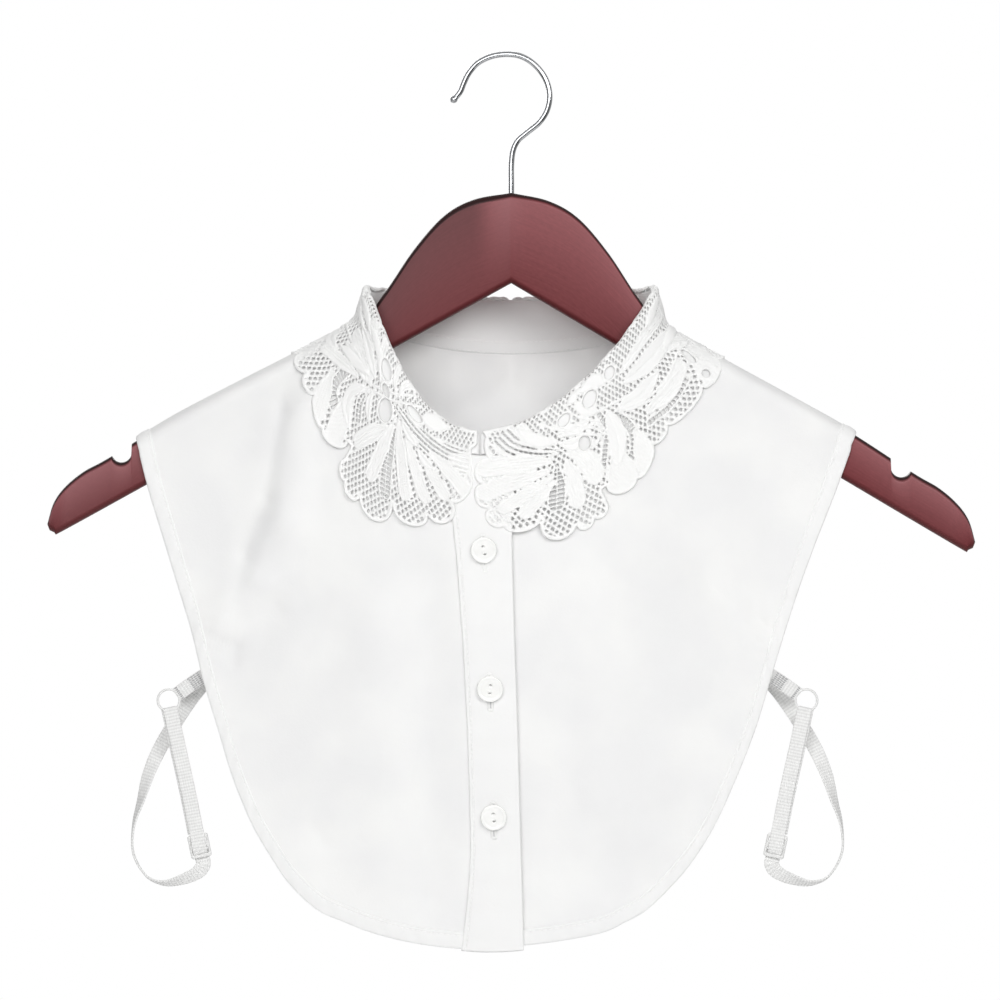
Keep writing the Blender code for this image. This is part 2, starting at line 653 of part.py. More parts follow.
def lace_line(side, face, around, cloth):
    """One line across the lace, from the fold outwards."""
    step = TINY
    turn = seam_turn(side, face, around)
    levels = np.linspace(1, 0.12, 8)
    stand = neck(side, turn, levels)
    ahead = neck(side, turn + 0.5, levels) - neck(side, turn - 0.5, levels)
    up = neck(side, turn, 1.0) - neck(side, turn, 0.0)
    out = unit(np.cross(ahead, up) * side)
    over = stand[0] + np.array([0, 0, LACE_LIFT])
    first = [over, over + out[0] * LACE_LIFT * 0.9 - np.array([0, 0, FOLD_ROUND])]
    beside = stand[1:] + out[1:] * LACE_LIFT
    shares = np.linspace(*LACE_REACH, 30)
    inside = np.clip(around, 2 * step, 1 - 2 * step)
    points = cloth(inside, shares)
    along = cloth(inside + step, shares) - cloth(inside - step, shares)
    outward = cloth(inside, shares + step) - cloth(inside, shares - step)
    normal = unit(np.cross(along, outward))
    normal *= np.sign(normal @ np.array([0, -face, 1.0]))[:, None]
    path = np.vstack([first, beside, points + normal * LACE_LIFT])
    path = spaced(path, np.linspace(0, 1, 120))
    for _ in range(6):
        path[1:-1] = (path[:-2] + 2 * path[1:-1] + path[2:]) / 4
    run = np.concatenate([[0], np.cumsum(np.linalg.norm(np.diff(path, axis=0), axis=1))])
    deep = np.linspace(0, LACE_DEPTH, GROUND_POINTS)
    return np.stack([np.interp(deep, run, column) for column in path.T], axis=-1)


def seam_turn(side, face, around):
    """The turn round the neck that lies at this share of the neck seam's quarter."""
    turns = np.linspace(90, 0 if face == FRONT else 180, MANY)
    seam = neck(side, turns, 0)
    shares = np.concatenate([[0], np.cumsum(np.linalg.norm(np.diff(seam, axis=0), axis=1))])
    return float(np.interp(around, shares / shares[-1], turns))


def flat_place(share, across):
    """Where a share round the neck and a distance across lie on the flat, fan-shaped cut."""
    turn, radius = share * LACE_TURN, LACE_RADIUS + across
    return np.stack([radius * np.sin(turn), radius * np.cos(turn)], axis=-1)


def scalloped(cusps):
    """The edge through the cusps, with a half ellipse bulging out to the left of each chord."""
    cusps = np.array(cusps)
    places = flat_place(cusps[:, 0], cusps[:, 1])
    edge = []
    for start, end, bulge in zip(places, places[1:], cusps[:, 2]):
        chord = end - start
        outward = unit(np.array([-chord[1], chord[0]]))
        count = max(2, round((np.hypot(*chord) + bulge) / CHORD))
        turn = np.linspace(0, math.pi, count, endpoint=False)[:, None]
        edge.append(start + chord * (1 - np.cos(turn)) / 2 + outward * bulge * np.sin(turn))
    return np.concatenate(edge + [places[-1:]])


def lace_outline(side):
    """The flat outline: the scalloped edge, the centre back and the fold."""
    edge = scalloped(SCALLOPS[side] + SCALLOPS_BEHIND)
    behind = flat_place(np.full(7, LACE_END), np.linspace(SCALLOPS_BEHIND[-1][1], 0, 8)[1:])
    fold = flat_place(np.linspace(LACE_END, LACE_START, 24)[1:-1], np.zeros(22))
    return np.concatenate([edge, behind, fold])


def window_outline(share, across, length, width, turned, count=10):
    """An oval window through the lace, drawn on the flat cut."""
    turn = np.linspace(0, 2 * np.pi, count, endpoint=False)
    lean = math.radians(turned) - share * LACE_TURN
    x, y = length / 2 * np.cos(turn), width / 2 * np.sin(turn)
    along = np.array([math.cos(lean), math.sin(lean)])
    beside = np.array([-math.sin(lean), math.cos(lean)])
    return flat_place(np.array(share), np.array(across)) + x[:, None] * along + y[:, None] * beside


def inside_outline(points, outline):
    """Whether each point lies inside a closed outline: an odd number of edges cross its ray."""
    x, y = points[:, 0, None], points[:, 1, None]
    x0, y0 = outline.T
    x1, y1 = np.roll(outline, -1, axis=0).T
    spans = (y0 > y) != (y1 > y)
    rise = np.where(y1 == y0, 1, y1 - y0)
    return (spans & (x < x0 + (y - y0) / rise * (x1 - x0))).sum(axis=1) % 2 == 1


def away_from(points, outline, least):
    """Whether each point is at least this far from every point of an outline."""
    return np.linalg.norm(points[:, None] - outline[None], axis=2).min(axis=1) > least


def flat_lace(side):
    """Points and triangles of the flat lace, its windows cut through."""
    windows = [window_outline(*row) for row in WINDOWS[side] + WINDOWS_BEHIND]
    outlines = [lace_outline(side)] + windows
    across = np.arange(LACE_GRID / 2, LACE_DEPTH, LACE_GRID)
    shares = np.union1d(np.linspace(0.03, 1.97, 25), np.linspace(0.94, 1.06, 6))
    inner = flat_place(*(part.ravel() for part in np.meshgrid(shares, across)))
    inner = inner[inside_outline(inner, outlines[0])]
    for outline in outlines:
        inner = inner[away_from(inner, outline, LACE_GRID * 0.3)]
    for window in windows:
        inner = inner[~inside_outline(inner, window)]
    points = np.concatenate(outlines + [inner])
    edges, start = [], 0
    for outline in outlines:
        count = len(outline)
        edges += [(start + k, start + (k + 1) % count) for k in range(count)]
        start += count
    flat, _, faces, *_ = geometry.delaunay_2d_cdt([Vector(p) for p in points], edges, [], 0, 1e-4)
    flat = np.array([tuple(p) for p in flat])
    faces = np.array(faces)
    centres = flat[faces].mean(axis=1)
    kept = inside_outline(centres, outlines[0])
    for window in windows:
        kept &= ~inside_outline(centres, window)
    used, index = np.unique(faces[kept], return_inverse=True)
    return flat[used], index.reshape(-1, 3)


def make_lace(finish, collection):
    """Two halves of heavy lace that meet at the centre front and the centre back.

    A petal that reaches past the centre front lies on the other side's ground.
    """
    grounds = {side: lace_ground(side) for side in (LEFT, RIGHT)}
    for side, name in ((LEFT, "lace_right"), (RIGHT, "lace_left")):
        flat, faces = flat_lace(side)
        share = np.arctan2(flat[:, 0], flat[:, 1]) / LACE_TURN
        across = np.hypot(flat[:, 0], flat[:, 1]) - LACE_RADIUS
        own = read_ground(grounds[side], share, across)
        other = read_ground(grounds[-side], -share, across)
        points = np.where(share[:, None] < 0, other, own)
        lace = new_object(name, points, [], faces.tolist(), finish, collection)
        weld_outwards(lace)
        thicken(lace, LACE_WALL)


# Buttons and straps


def make_buttons(finish, collection, cutters):
    """Flat turned buttons with a raised rim and two holes, on the band."""
    surface = band_surface()
    middle = surface(0.5, np.linspace(0, 1, MANY))
    for number, height in enumerate(BUTTON_HEIGHTS):
        place = np.array([np.interp(-height, -middle[:, 2], column) for column in middle.T])
        below = np.array([np.interp(BUTTON_SEAT - height, -middle[:, 2], column) for column in middle.T])
        slope = math.atan2(below[1] - place[1], place[2] - below[2])
        place[1] -= WALL / 2 + SEAM
        points = [(radius, 0, level) for radius, level in BUTTON_PROFILE]
        edges = [(k, k + 1) for k in range(len(points) - 1)]
        name = f"button_{number + 1}"
        button = new_object(name, points, edges, [], finish, collection)
        spin = button.modifiers.new("Turned", "SCREW")
        spin.steps = spin.render_steps = 18
        spin.use_merge_vertices = True
        spin.merge_threshold = 0.01 * MM
        tilt = Matrix.Rotation(math.radians(BUTTON_TURN[number]), 4, "Y")
        turn = tilt @ Matrix.Rotation(math.radians(90) + slope, 4, "X")
        button.matrix_world = Matrix.Translation(Vector(place) * MM) @ turn
        for sign in (-1, 1):
            at = Vector(place) + turn @ Vector((0, sign * BUTTON_HOLE_SPACING / 2, BUTTON_THICK / 2))
            facing, depth = turn @ Vector((0, 0, 1)), 2 * BUTTON_THICK
            cut_hole(button, f"{name} hole {sign}", at, facing, BUTTON_HOLE_RADIUS, depth, cutters)


def mirrored(side, points):
    """The left side's points, turned over for the right side."""
    points = np.array(points, float)
    if side == RIGHT:
        points[..., 0] = 2 * STRAP_MIDDLE - points[..., 0]
    return points


def ribbon(name, side, route, count, thick, finish, collection):
    """A flat elastic along a route of X, Y, Z and how far it is turned edge-on."""
    path = smooth_path(route, count)
    points, facing = path[:, :3], np.radians(path[:, 3])[:, None]
    ahead = unit(np.gradient(points, axis=0))
    flat = unit(np.cross(ahead, (0, 1, 0)))
    width = flat * np.cos(facing) + np.array([[0, 1.0, 0]]) * np.sin(facing)
    width = unit(width - ahead * (width * ahead).sum(axis=1, keepdims=True))
    grid = np.stack([points - width * ELASTIC_WIDTH / 2, points + width * ELASTIC_WIDTH / 2], axis=1)
    sheet(name, mirrored(side, grid), thick, finish, collection)


def make_ring(name, side, finish, collection):
    """A wire ring that faces the front."""
    bpy.ops.mesh.primitive_torus_add(
        major_segments=24, minor_segments=6, major_radius=RING_RADIUS * MM, minor_radius=RING_WIRE * MM
    )
    ring = bpy.context.object
    ring.name = name
    ring.data.materials.append(finish)
    ring.data.shade_smooth()
    ring.rotation_euler = (math.radians(90), 0, 0)
    ring.location = Vector(mirrored(side, RING_PLACE)) * MM
    for holder in list(ring.users_collection):
        holder.objects.unlink(ring)
    collection.objects.link(ring)


def make_slider(name, side, finish, collection):
    """A flat plate with two slots."""
    data = bpy.data.curves.new(name, "CURVE")
    data.dimensions = "2D"
    data.fill_mode = "BOTH"
    data.extrude = SLIDER_THICK / 2 * MM
    width, height = SLIDER_SIZE
    slot_width, slot_height = SLIDER_SLOT
    rise = (slot_height + SLIDER_BAR) / 2
    outlines = ((0, width, height), (rise, slot_width, slot_height), (-rise, slot_width, slot_height))
    for z, wide, high in outlines:
        spline = data.splines.new("POLY")
        spline.points.add(3)
        spline.use_cyclic_u = True
        for point, (across, up) in zip(spline.points, ((-1, -1), (1, -1), (1, 1), (-1, 1))):
            point.co = (across * wide / 2 * MM, (z + up * high / 2) * MM, 0, 1)
    data.materials.append(finish)
    plate = bpy.data.objects.new(name, data)
    place = Vector(mirrored(side, SLIDER_PLACE)) * MM
    lean = Matrix.Rotation(math.radians(side * SLIDER_TURN), 4, "Y")
    plate.matrix_world = Matrix.Translation(place) @ lean @ Matrix.Rotation(math.radians(90), 4, "X")
    collection.objects.link(plate)


def make_straps(elastic, metal, plastic, collection):
    """At each side: tab, ring, doubled strap, slider and the loop to the back."""
    for side, name in ((LEFT, "right"), (RIGHT, "left")):
        ribbon(f"strap_tab_{name}", side, TAB_ROUTE, 5, ELASTIC_WALL, elastic, collection)
        make_ring(f"ring_{name}", side, metal, collection)
        ribbon(f"strap_{name}", side, STRAP_ROUTE, 10, 2 * ELASTIC_WALL, elastic, collection)
        make_slider(f"slider_{name}", side, plastic, collection)
        ribbon(f"strap_loop_{name}", side, LOOP_ROUTE, 36, ELASTIC_WALL, elastic, collection)


def main():
    """Clear the scene and make every piece."""
    for old in list(bpy.data.objects):
        bpy.data.objects.remove(old, do_unlink=True)
    parts = bpy.data.collections.new("lace collar on a hanger")
    cutters = bpy.data.collections.new("cutters")
    bpy.context.scene.collection.children.link(parts)
    bpy.context.scene.collection.children.link(cutters)

    wood = material("lacquered wood", (0.16, 0.03, 0.035), 0.3)
    chrome = material("chromed wire", (0.8, 0.8, 0.8), 0.12, 1.0)
    crepe = material("white crepe", (0.86, 0.86, 0.86), 0.8)
    bound = material("turned crepe edge", (0.9, 0.9, 0.9), 0.8)
    guipure = material("guipure lace", (0.93, 0.93, 0.92), 0.65)
    elastic = material("ribbed elastic", (0.9, 0.9, 0.9), 0.7)
    plastic = material("white plastic", (0.9, 0.9, 0.9), 0.4)
    button = material("button", (0.92, 0.92, 0.92), 0.3)

    make_hanger(wood, parts, cutters)
    make_hook(chrome, parts)
    make_cloth(crepe, bound, parts)
    make_band(crepe, parts)
    make_stand(crepe, parts)
    make_lace(guipure, parts)
    make_buttons(button, parts, cutters)
    make_straps(elastic, chrome, plastic, parts)


main()
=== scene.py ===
import math

import bmesh
import bpy
import numpy as np
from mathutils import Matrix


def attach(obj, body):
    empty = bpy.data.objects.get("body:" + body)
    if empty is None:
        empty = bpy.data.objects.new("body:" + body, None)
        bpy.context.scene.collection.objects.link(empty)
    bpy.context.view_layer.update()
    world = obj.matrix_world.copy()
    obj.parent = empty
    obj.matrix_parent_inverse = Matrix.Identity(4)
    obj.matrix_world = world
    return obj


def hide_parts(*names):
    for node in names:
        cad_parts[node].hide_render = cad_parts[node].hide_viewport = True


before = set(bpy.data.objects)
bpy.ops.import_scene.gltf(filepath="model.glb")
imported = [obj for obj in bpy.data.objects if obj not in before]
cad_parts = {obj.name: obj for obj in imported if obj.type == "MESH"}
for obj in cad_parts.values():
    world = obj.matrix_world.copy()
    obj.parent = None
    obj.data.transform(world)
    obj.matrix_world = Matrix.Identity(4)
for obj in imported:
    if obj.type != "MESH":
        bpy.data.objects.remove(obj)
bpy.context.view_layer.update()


# The hanger.
# Two flat arms of beech, glued edge to edge at the middle, with rounded edges and a notch
# near each tip. They are stained dark red-brown and sprayed with a satin lacquer. Painted shade
# darkens the top and bottom edges, and a painted highlight runs just under the top edge. The left
# arm and the tips are painted lighter, so the right arm near the collar stays darker as painted shade.

MM = 0.001
LEFT, RIGHT = -1, 1
FRONT, BACK = 1, -1
HANGER_THICK, EDGE_ROUND = 12.0, 3.2
STEM_X, ARCH_TOP = 2.0, -65.3
TILT = math.tan(math.radians(1.1))
HANGER_UPPER = (
    (0, 0), (18, 3.6), (32.4, 11.8), (46.8, 28.3), (60.7, 49), (73.4, 63.8), (105, 80.8),
    (136.8, 97.6), (163, 111.9), (193, 130.8), (205, 137.6), (214, 145.2), (219.6, 153),
    (222.7, 163.2),
)
HANGER_LOWER = (
    (0, 43.2), (70, 83.2), (140, 123.2), (212, 164.4), (218, 167.2), (221.3, 166.4), (222.7, 163.2),
)
NOTCH_OUT, NOTCH_RADIUS, NOTCH_SINK = 187.0, 5.0, 0.8


def run_of(path):
    """The length run along a path of points, from its start to each of them."""
    return np.concatenate([[0], np.cumsum(np.linalg.norm(np.diff(path, axis=0), axis=1))])


def read_at(places, run, path):
    """A path's points at these places of its run, linear between its own points."""
    return np.stack([np.interp(places, run, column) for column in path.T], axis=-1)


def spaced(path, shares):
    """Points at these shares of the length of a path of points."""
    run = run_of(path)
    return read_at(shares, run / run[-1], path)


def smooth_path(knots, count):
    """Evenly spaced points on a Catmull-Rom curve through the knots."""
    knots = np.asarray(knots, float)
    ends = np.vstack([2 * knots[0] - knots[1], knots, 2 * knots[-1] - knots[-2]])
    p, q, r, s = (ends[k : len(ends) - 3 + k, None] for k in range(4))
    u = np.linspace(0, 1, 12, endpoint=False)[:, None]
    curve = 2 * q + (r - p) * u + (2 * p - 5 * q + 4 * r - s) * u**2 + (3 * q - p - 3 * r + s) * u**3
    curve = np.vstack([curve.reshape(-1, knots.shape[1]) / 2, knots[-1]])
    return spaced(curve, np.linspace(0, 1, count))


def smooth(share):
    """0 below 0, 1 above 1, and a soft step 3s^2 - 2s^3 between."""
    share = np.clip(share, 0, 1)
    return share * share * (3 - 2 * share)


def unit(vectors):
    """The vectors, each scaled to length 1."""
    return vectors / np.linalg.norm(vectors, axis=-1, keepdims=True)


def drop_of(table, out):
    """Drop below the arch's top at a distance out from the stem."""
    curve = smooth_path(table, 12 * len(table))
    return np.interp(out, curve[:, 0], curve[:, 1])


def hanger_top(x):
    """Height of the hanger's upper edge at X."""
    return ARCH_TOP - drop_of(HANGER_UPPER, np.abs(x - STEM_X)) - TILT * (x - STEM_X)


def grid_quads(rows, columns, wrap=False):
    """Quads between the points of a grid, whose last column joins the first where it wraps."""
    index = np.arange(rows * columns).reshape(rows, columns)
    if wrap:
        index = np.hstack([index, index[:, :1]])
    corners = index[:-1, :-1], index[:-1, 1:], index[1:, 1:], index[1:, :-1]
    return np.stack(corners, axis=-1).reshape(-1, 4)


def ringed(rings):
    """The points of rings along a path, and the quads that join each ring to the next."""
    return rings.reshape(-1, 3), grid_quads(*rings.shape[:2], wrap=True)


def piece(name, points, faces, finish, flat=None, marks=(), weld=False):
    """An object with these points, in millimetres, and faces, which all have as many corners.

    flat is each point's place on the flat stuff in metres, kept as a UV map, and marks are
    named values of the points. weld merges the points of poles and turns the faces outwards.
    """
    faces = np.asarray(faces, np.int32)
    mesh = bpy.data.meshes.new(name)
    mesh.vertices.add(len(points))
    mesh.vertices.foreach_set("co", (np.asarray(points, float) * MM).astype(np.float32).ravel())
    mesh.loops.add(faces.size)
    mesh.loops.foreach_set("vertex_index", faces.ravel())
    mesh.polygons.add(len(faces))
    mesh.polygons.foreach_set("loop_start", np.arange(0, faces.size, faces.shape[1], dtype=np.int32))
    mesh.update(calc_edges=True)
    if flat is not None:
        layer = mesh.uv_layers.new(name="flat")
        layer.data.foreach_set("uv", np.asarray(flat, np.float32).reshape(-1, 2)[faces.ravel()].ravel())
    for mark, values in marks:
        layer = mesh.attributes.new(mark, "FLOAT", "POINT")
        layer.data.foreach_set("value", np.asarray(values, np.float32).ravel())
    if weld:
        cage = bmesh.new()
        cage.from_mesh(mesh)
        bmesh.ops.remove_doubles(cage, verts=cage.verts, dist=2e-6)
        bmesh.ops.recalc_face_normals(cage, faces=cage.faces)
        cage.to_mesh(mesh)
        cage.free()
    mesh.shade_smooth()
    mesh.materials.append(finish)
    made = bpy.data.objects.new(name, mesh)
    bpy.context.scene.collection.objects.link(made)
    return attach(made, "root")


def linear(code):
    """The linear colour of an sRGB hex value: ((c + 0.055) / 1.055)^2.4, or c / 12.92 near black."""
    parts = [int(code[k : k + 2], 16) / 255 for k in (1, 3, 5)]
    return (*(c / 12.92 if c <= 0.04045 else ((c + 0.055) / 1.055) ** 2.4 for c in parts), 1.0)


def add(tree, kind, inputs=(), **settings):
    """One node with its settings; each input is a value or the socket that feeds it."""
    made = tree.nodes.new("ShaderNode" + kind)
    for name, value in settings.items():
        setattr(made, name, value)
    for name, value in dict(inputs).items():
        if isinstance(value, bpy.types.NodeSocket):
            tree.links.new(value, made.inputs[name])
        else:
            made.inputs[name].default_value = value
    return made


def new_finish(name, **values):
    """A material, its node tree and its Principled shader, with these values on the shader's sockets."""
    made = bpy.data.materials.new(name)
    made.use_nodes = True
    shader = made.node_tree.nodes["Principled BSDF"]
    for socket, value in values.items():
        shader.inputs[socket.replace("_", " ")].default_value = value
    return made, made.node_tree, shader


def two_tones(tree, share, low, high):
    """A colour between two hex values, by a share."""
    mixed = add(tree, "Mix", data_type="RGBA")
    tree.links.new(share, mixed.inputs["Factor"])
    mixed.inputs[6].default_value, mixed.inputs[7].default_value = linear(low), linear(high)
    return mixed.outputs[2]


def bump(tree, shader, height, depth, strength=1.0):
    """A bump of this height field, depth metres from its 0 to its 1, on a shader's normal."""
    made = add(tree, "Bump", {"Height": height, "Distance": depth, "Strength": strength})
    tree.links.new(made.outputs["Normal"], shader.inputs["Normal"])
    return made


def let_through(tree, shader, code, share):
    """Thin white stuff also passes light on: a share of the surface scatters it to the far side."""
    far = add(tree, "BsdfTranslucent")
    far.inputs["Color"].default_value = linear(code)
    both_ways = add(tree, "MixShader", {0: share})
    tree.links.new(shader.outputs["BSDF"], both_ways.inputs[1])
    tree.links.new(far.outputs["BSDF"], both_ways.inputs[2])
    tree.links.new(both_ways.outputs["Shader"], tree.nodes["Material Output"].inputs["Surface"])


# Stained and lacquered beech: the eye sees fine long grain under a soft, even shine.
wood, tree, shader = new_finish(
    "stained lacquered beech", Roughness=0.5, Specular_IOR_Level=0.25, Coat_Weight=0.06, Coat_Roughness=0.35,
)
along = add(tree, "UVMap", uv_map="flat")
grain_place = add(tree, "Mapping", {"Vector": along.outputs["UV"], "Scale": (1 / 0.035, 1 / 0.0009, 1)})
grain = add(tree, "TexNoise", {"Vector": grain_place.outputs["Vector"], "Scale": 1.0, "Detail": 4.0})
mottle_place = add(tree, "Mapping", {"Vector": along.outputs["UV"], "Scale": (1 / 0.0022, 1 / 0.0012, 1)})
mottle = add(tree, "TexNoise", {"Vector": mottle_place.outputs["Vector"], "Scale": 1.0, "Detail": 3.0})
both = add(tree, "Math", {0: grain.outputs["Fac"], 1: mottle.outputs["Fac"]}, operation="ADD")
spread = add(tree, "MapRange", {"Value": both.outputs["Value"], "From Min": 0.4, "From Max": 1.6})
tone = two_tones(tree, spread.outputs["Result"], "#642226", "#883B40")
# Painted light and shade over the grain: the left arm and the tips lighter, a painted highlight under the
# top edge, and painted shade on the lower and upper edges.
for mark, code in (("painted_light_left_tips", "#7C474A"), ("painted_glint", "#9A6468"), ("lower", "#4C0F12"), ("upper", "#260809")):
    marked = add(tree, "Attribute", attribute_name=mark)
    mixed = add(tree, "Mix", {"Factor": marked.outputs["Fac"]}, data_type="RGBA")
    tree.links.new(tone, mixed.inputs[6])
    mixed.inputs[7].default_value = linear(code)
    tone = mixed.outputs[2]
tree.links.new(tone, shader.inputs["Base Color"])
bump(tree, shader, grain.outputs["Fac"], 0.00002, 0.3)


def hanger_mesh():
    """Upright slices from tip to tip, each a rectangle with round corners.

    The half thickness falls as a quarter ellipse near the tips, and the upper edge dips by a
    half circle at the notches.
    """
    out = np.unique(np.concatenate([
        np.linspace(0, 180, 150), np.linspace(180, 194, 60), np.linspace(194, 222.7, 50),
    ]))
    x = STEM_X + np.concatenate([-out[:0:-1], out])
    low = ARCH_TOP - drop_of(HANGER_LOWER, np.abs(x - STEM_X)) - TILT * (x - STEM_X)
    top = hanger_top(x)
    for side in (LEFT, RIGHT):
        at = STEM_X + side * NOTCH_OUT
        inside = np.abs(x - at) < NOTCH_RADIUS
        dip = hanger_top(at) - NOTCH_SINK - np.sqrt(np.maximum(NOTCH_RADIUS**2 - (x - at) ** 2, 0))
        top = np.where(inside, np.minimum(top, dip), top)
    half = HANGER_THICK / 2 * np.sqrt(1 - np.clip((np.abs(x - STEM_X) - 212) / 10.7, 0, 1) ** 2)
    tall, middle = (top - low) / 2, (top + low) / 2
    radius = np.minimum(EDGE_ROUND, np.minimum(half, tall))
    turn = np.radians(np.concatenate([np.linspace(q, q + 90, 8) for q in (0, 90, 180, 270)]))
    corner_y = np.repeat((1, -1, -1, 1), 8)
    corner_z = np.repeat((1, 1, -1, -1), 8)
    y = corner_y * (half - radius)[:, None] + radius[:, None] * np.cos(turn)
    z = middle[:, None] + corner_z * (tall - radius)[:, None] + radius[:, None] * np.sin(turn)
    points = np.stack([np.broadcast_to(x[:, None], y.shape), y, z], axis=-1)
    # Painted shade: a dark band along the top edge, wider on the left arm.
    deep = 1.2 + 1.5 * smooth((STEM_X + 10 - x)[:, None] / 30) * smooth((x + 130)[:, None] / 60)
    upper = 1 - smooth((top[:, None] - z - deep) / 1.0)
    # Painted shade: a dark band along the lower edge.
    lower = 0.9 * (1 - smooth((z - low[:, None] - 1.2) / 3.8))
    # Painted highlight: a thin paler line just below the top edge's dark band.
    painted_glint = 0.55 * np.exp(-(((top[:, None] - z - deep - 1.5) / 0.8) ** 2))
    # Painted light: the left arm and the tips lighter, so the right arm near the collar stays darker as
    # painted shade.
    painted_light_left_tips = 0.35 * (points[..., 0] < STEM_X) + 0.35 * smooth((np.abs(points[..., 0]) - 150) / 50)
    flat = np.stack([points[..., 0], (z - middle[:, None]) + 80 * (points[..., 0] > STEM_X)], axis=-1) * MM
    return points, flat, [("upper", upper), ("lower", lower), ("painted_light_left_tips", painted_light_left_tips), ("painted_glint", painted_glint)]


points, flat, marks = hanger_mesh()
hanger = piece(
    "wooden_hanger", *ringed(points), wood,
    flat=flat, marks=marks, weld=True,
)
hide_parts("hanger")


# The hook.
# One length of steel wire, bent cold to a question mark with a small ball at its tip, and
# chrome plated. Its foot is driven into a hole in the arch.

WIRE_RADIUS, BALL_RADIUS = 1.4, 1.85
HOOK_ROUTE = (
    (-26.9, -21.6), (-24.6, -19.2), (-22.4, -16.4), (-20.6, -12), (-18.2, -7.4), (-13.9, -2.7), (-7.4, 0.4),
    (0, 1.4), (7.2, 0.2), (13.6, -4.0), (18.4, -10.4), (20.4, -18), (19.2, -25.4), (15.4, -31.4),
    (9.8, -36), (5.2, -40), (2.8, -45), (2.0, -52), (2.0, -60), (2.0, -70), (2.0, -78.6),
)


def tube(path, radii, sides, across=(0, 1, 0), closed=False):
    """Rings of a round wire along a path: centre + r (cos a n + sin a b).

    n is the path's normal nearest to the direction "across". An open wire gets an end ring of
    no size, so that welding closes it.
    """
    path, radii = np.asarray(path, float), np.broadcast_to(radii, len(path)).astype(float)
    ahead = unit(np.roll(path, -1, 0) - np.roll(path, 1, 0)) if closed else unit(np.gradient(path, axis=0))
    normal = np.asarray(across, float) - ahead * (ahead @ np.asarray(across, float))[:, None]
    normal = unit(normal)
    beside = np.cross(ahead, normal)
    turn = np.linspace(0, 2 * np.pi, sides, endpoint=False)
    ring = np.cos(turn)[None, :, None] * normal[:, None] + np.sin(turn)[None, :, None] * beside[:, None]
    rings = path[:, None] + ring * radii[:, None, None]
    if closed:
        return np.concatenate([rings, rings[:1]])
    ends = [np.broadcast_to(path[k], rings[0].shape)[None] for k in (0, -1)]
    return np.concatenate([ends[0], rings, ends[1]])


# Chrome plate on steel wire: the eye sees a mirror that darkens at its turned sides.
chrome, tree, shader = new_finish("chrome plated wire", Metallic=1.0, Roughness=0.14)
place = add(tree, "TexCoord")
rubbed = add(tree, "TexNoise", {"Vector": place.outputs["Object"], "Scale": 400.0, "Detail": 2.0})
tree.links.new(two_tones(tree, rubbed.outputs["Fac"], "#A4A6A9", "#D2D4D6"), shader.inputs["Base Color"])
bump(tree, shader, rubbed.outputs["Fac"], 0.000004, 0.3)

route = smooth_path(HOOK_ROUTE, 220)
path = np.stack([route[:, 0], np.zeros(len(route)), route[:, 1]], axis=-1)
run = run_of(path)
ball = np.sqrt(np.maximum(BALL_RADIUS**2 - (run - BALL_RADIUS) ** 2, 0))
radii = np.where(run < BALL_RADIUS, np.maximum(ball, 0.2), np.maximum(ball, WIRE_RADIUS))
rings = tube(path, radii, 20)
hook = piece("wire_hook", *ringed(rings), chrome, weld=True)
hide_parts("hook")


# The two fronts and the back.
# Fine white crepe in a plain weave, cut to the neck seam and to a long curved outer edge. The
# cloth lies over the hanger's arms and hangs free below them in soft folds; the left front
# runs on behind the front band.

WALL, CLOTH = 1.2, 0.7
WRAP = HANGER_THICK / 2 + 0.3 + WALL / 2 + 0.5
RISE = WRAP - HANGER_THICK / 2
LAP_SINK, LAP_FADE = WALL + 0.4, 35.0
RING_X, CENTRE_SHIFT = 1.7, -14.7
HALF_WIDTH, FRONT_REACH, BACK_REACH = (73.7, 69.4), (37.0, 34.0), (33.0, 31.0)
FRONT_Z, BACK_Z, FOLD_SIDE_Z = (-191.0, -180.8), (-140.0, -115.2), -111.2
FALL_POWER = {LEFT: 2.3, RIGHT: 1.7}
EDGE = (
    (-207, -172, 158), (-230, -165, 149), (-253, -158, 140.5), (-276, -151, 133), (-299, -145.5, 126),
    (-322, -138.5, 119), (-345, -131.5, 110), (-368, -122, 99.5), (-385, -112, 89), (-397, -103.5, 79),
    (-408.5, -91, 67), (-414, -79, 57.5), (-420, -63, 43.5), (-425, -41, 14),
)
TIP_X = {LEFT: -178.0, RIGHT: 167.5}
HEM_CENTRE = {LEFT: (-8.0, -428.5), RIGHT: (-8.0, -426.0)}
HEM_DEPTH = {FRONT: 15.0, BACK: 13.0}
BACK_RAISE, BACK_SLIM = 8.0, 0.975
BAND = (
    (-188, -27.6, 1), (-217, -26.4, 2), (-240, -24, 2.4), (-278, -21.1, 3.4), (-315, -19.2, 4.8),
    (-353, -17.8, 5.8), (-383, -17.3, 6.7), (-406, -19.2, 7.4), (-428, -22, 8),
)
CALM_ARM, CALM_NECK, CALM_BAND, DEPTH_POWER = 0.12, 0.2, 0.1, 1.5
# Soft ridges (+) and troughs (-): their two ends as X and Z, the half width and the depth
FOLDS = {
    FRONT: (
        (-97, -168, -106, -222, 13, 4.0), (-106, -222, -136, -272, 11, 3.0),
        (-112, -262, -134, -280, 8, -2.0),
        (-38, -250, -38, -400, 12, -2.6), (-62, -270, -60, -390, 16, 2.4), (92, -250, 122, -276, 10, -2.2),
        (52, -380, 66, -398, 16, -2.4), (44, -250, 50, -370, 18, 2.2),
    ),
    BACK: (
        (-66, -230, -60, -390, 16, 2.6), (-34, -240, -36, -395, 12, -2.4), (58, -225, 52, -385, 17, 2.4),
        (24, -250, 26, -400, 13, -2.2), (-106, -246, -130, -276, 11, 2.4), (92, -240, 118, -272, 11, 2.4),
    ),
}
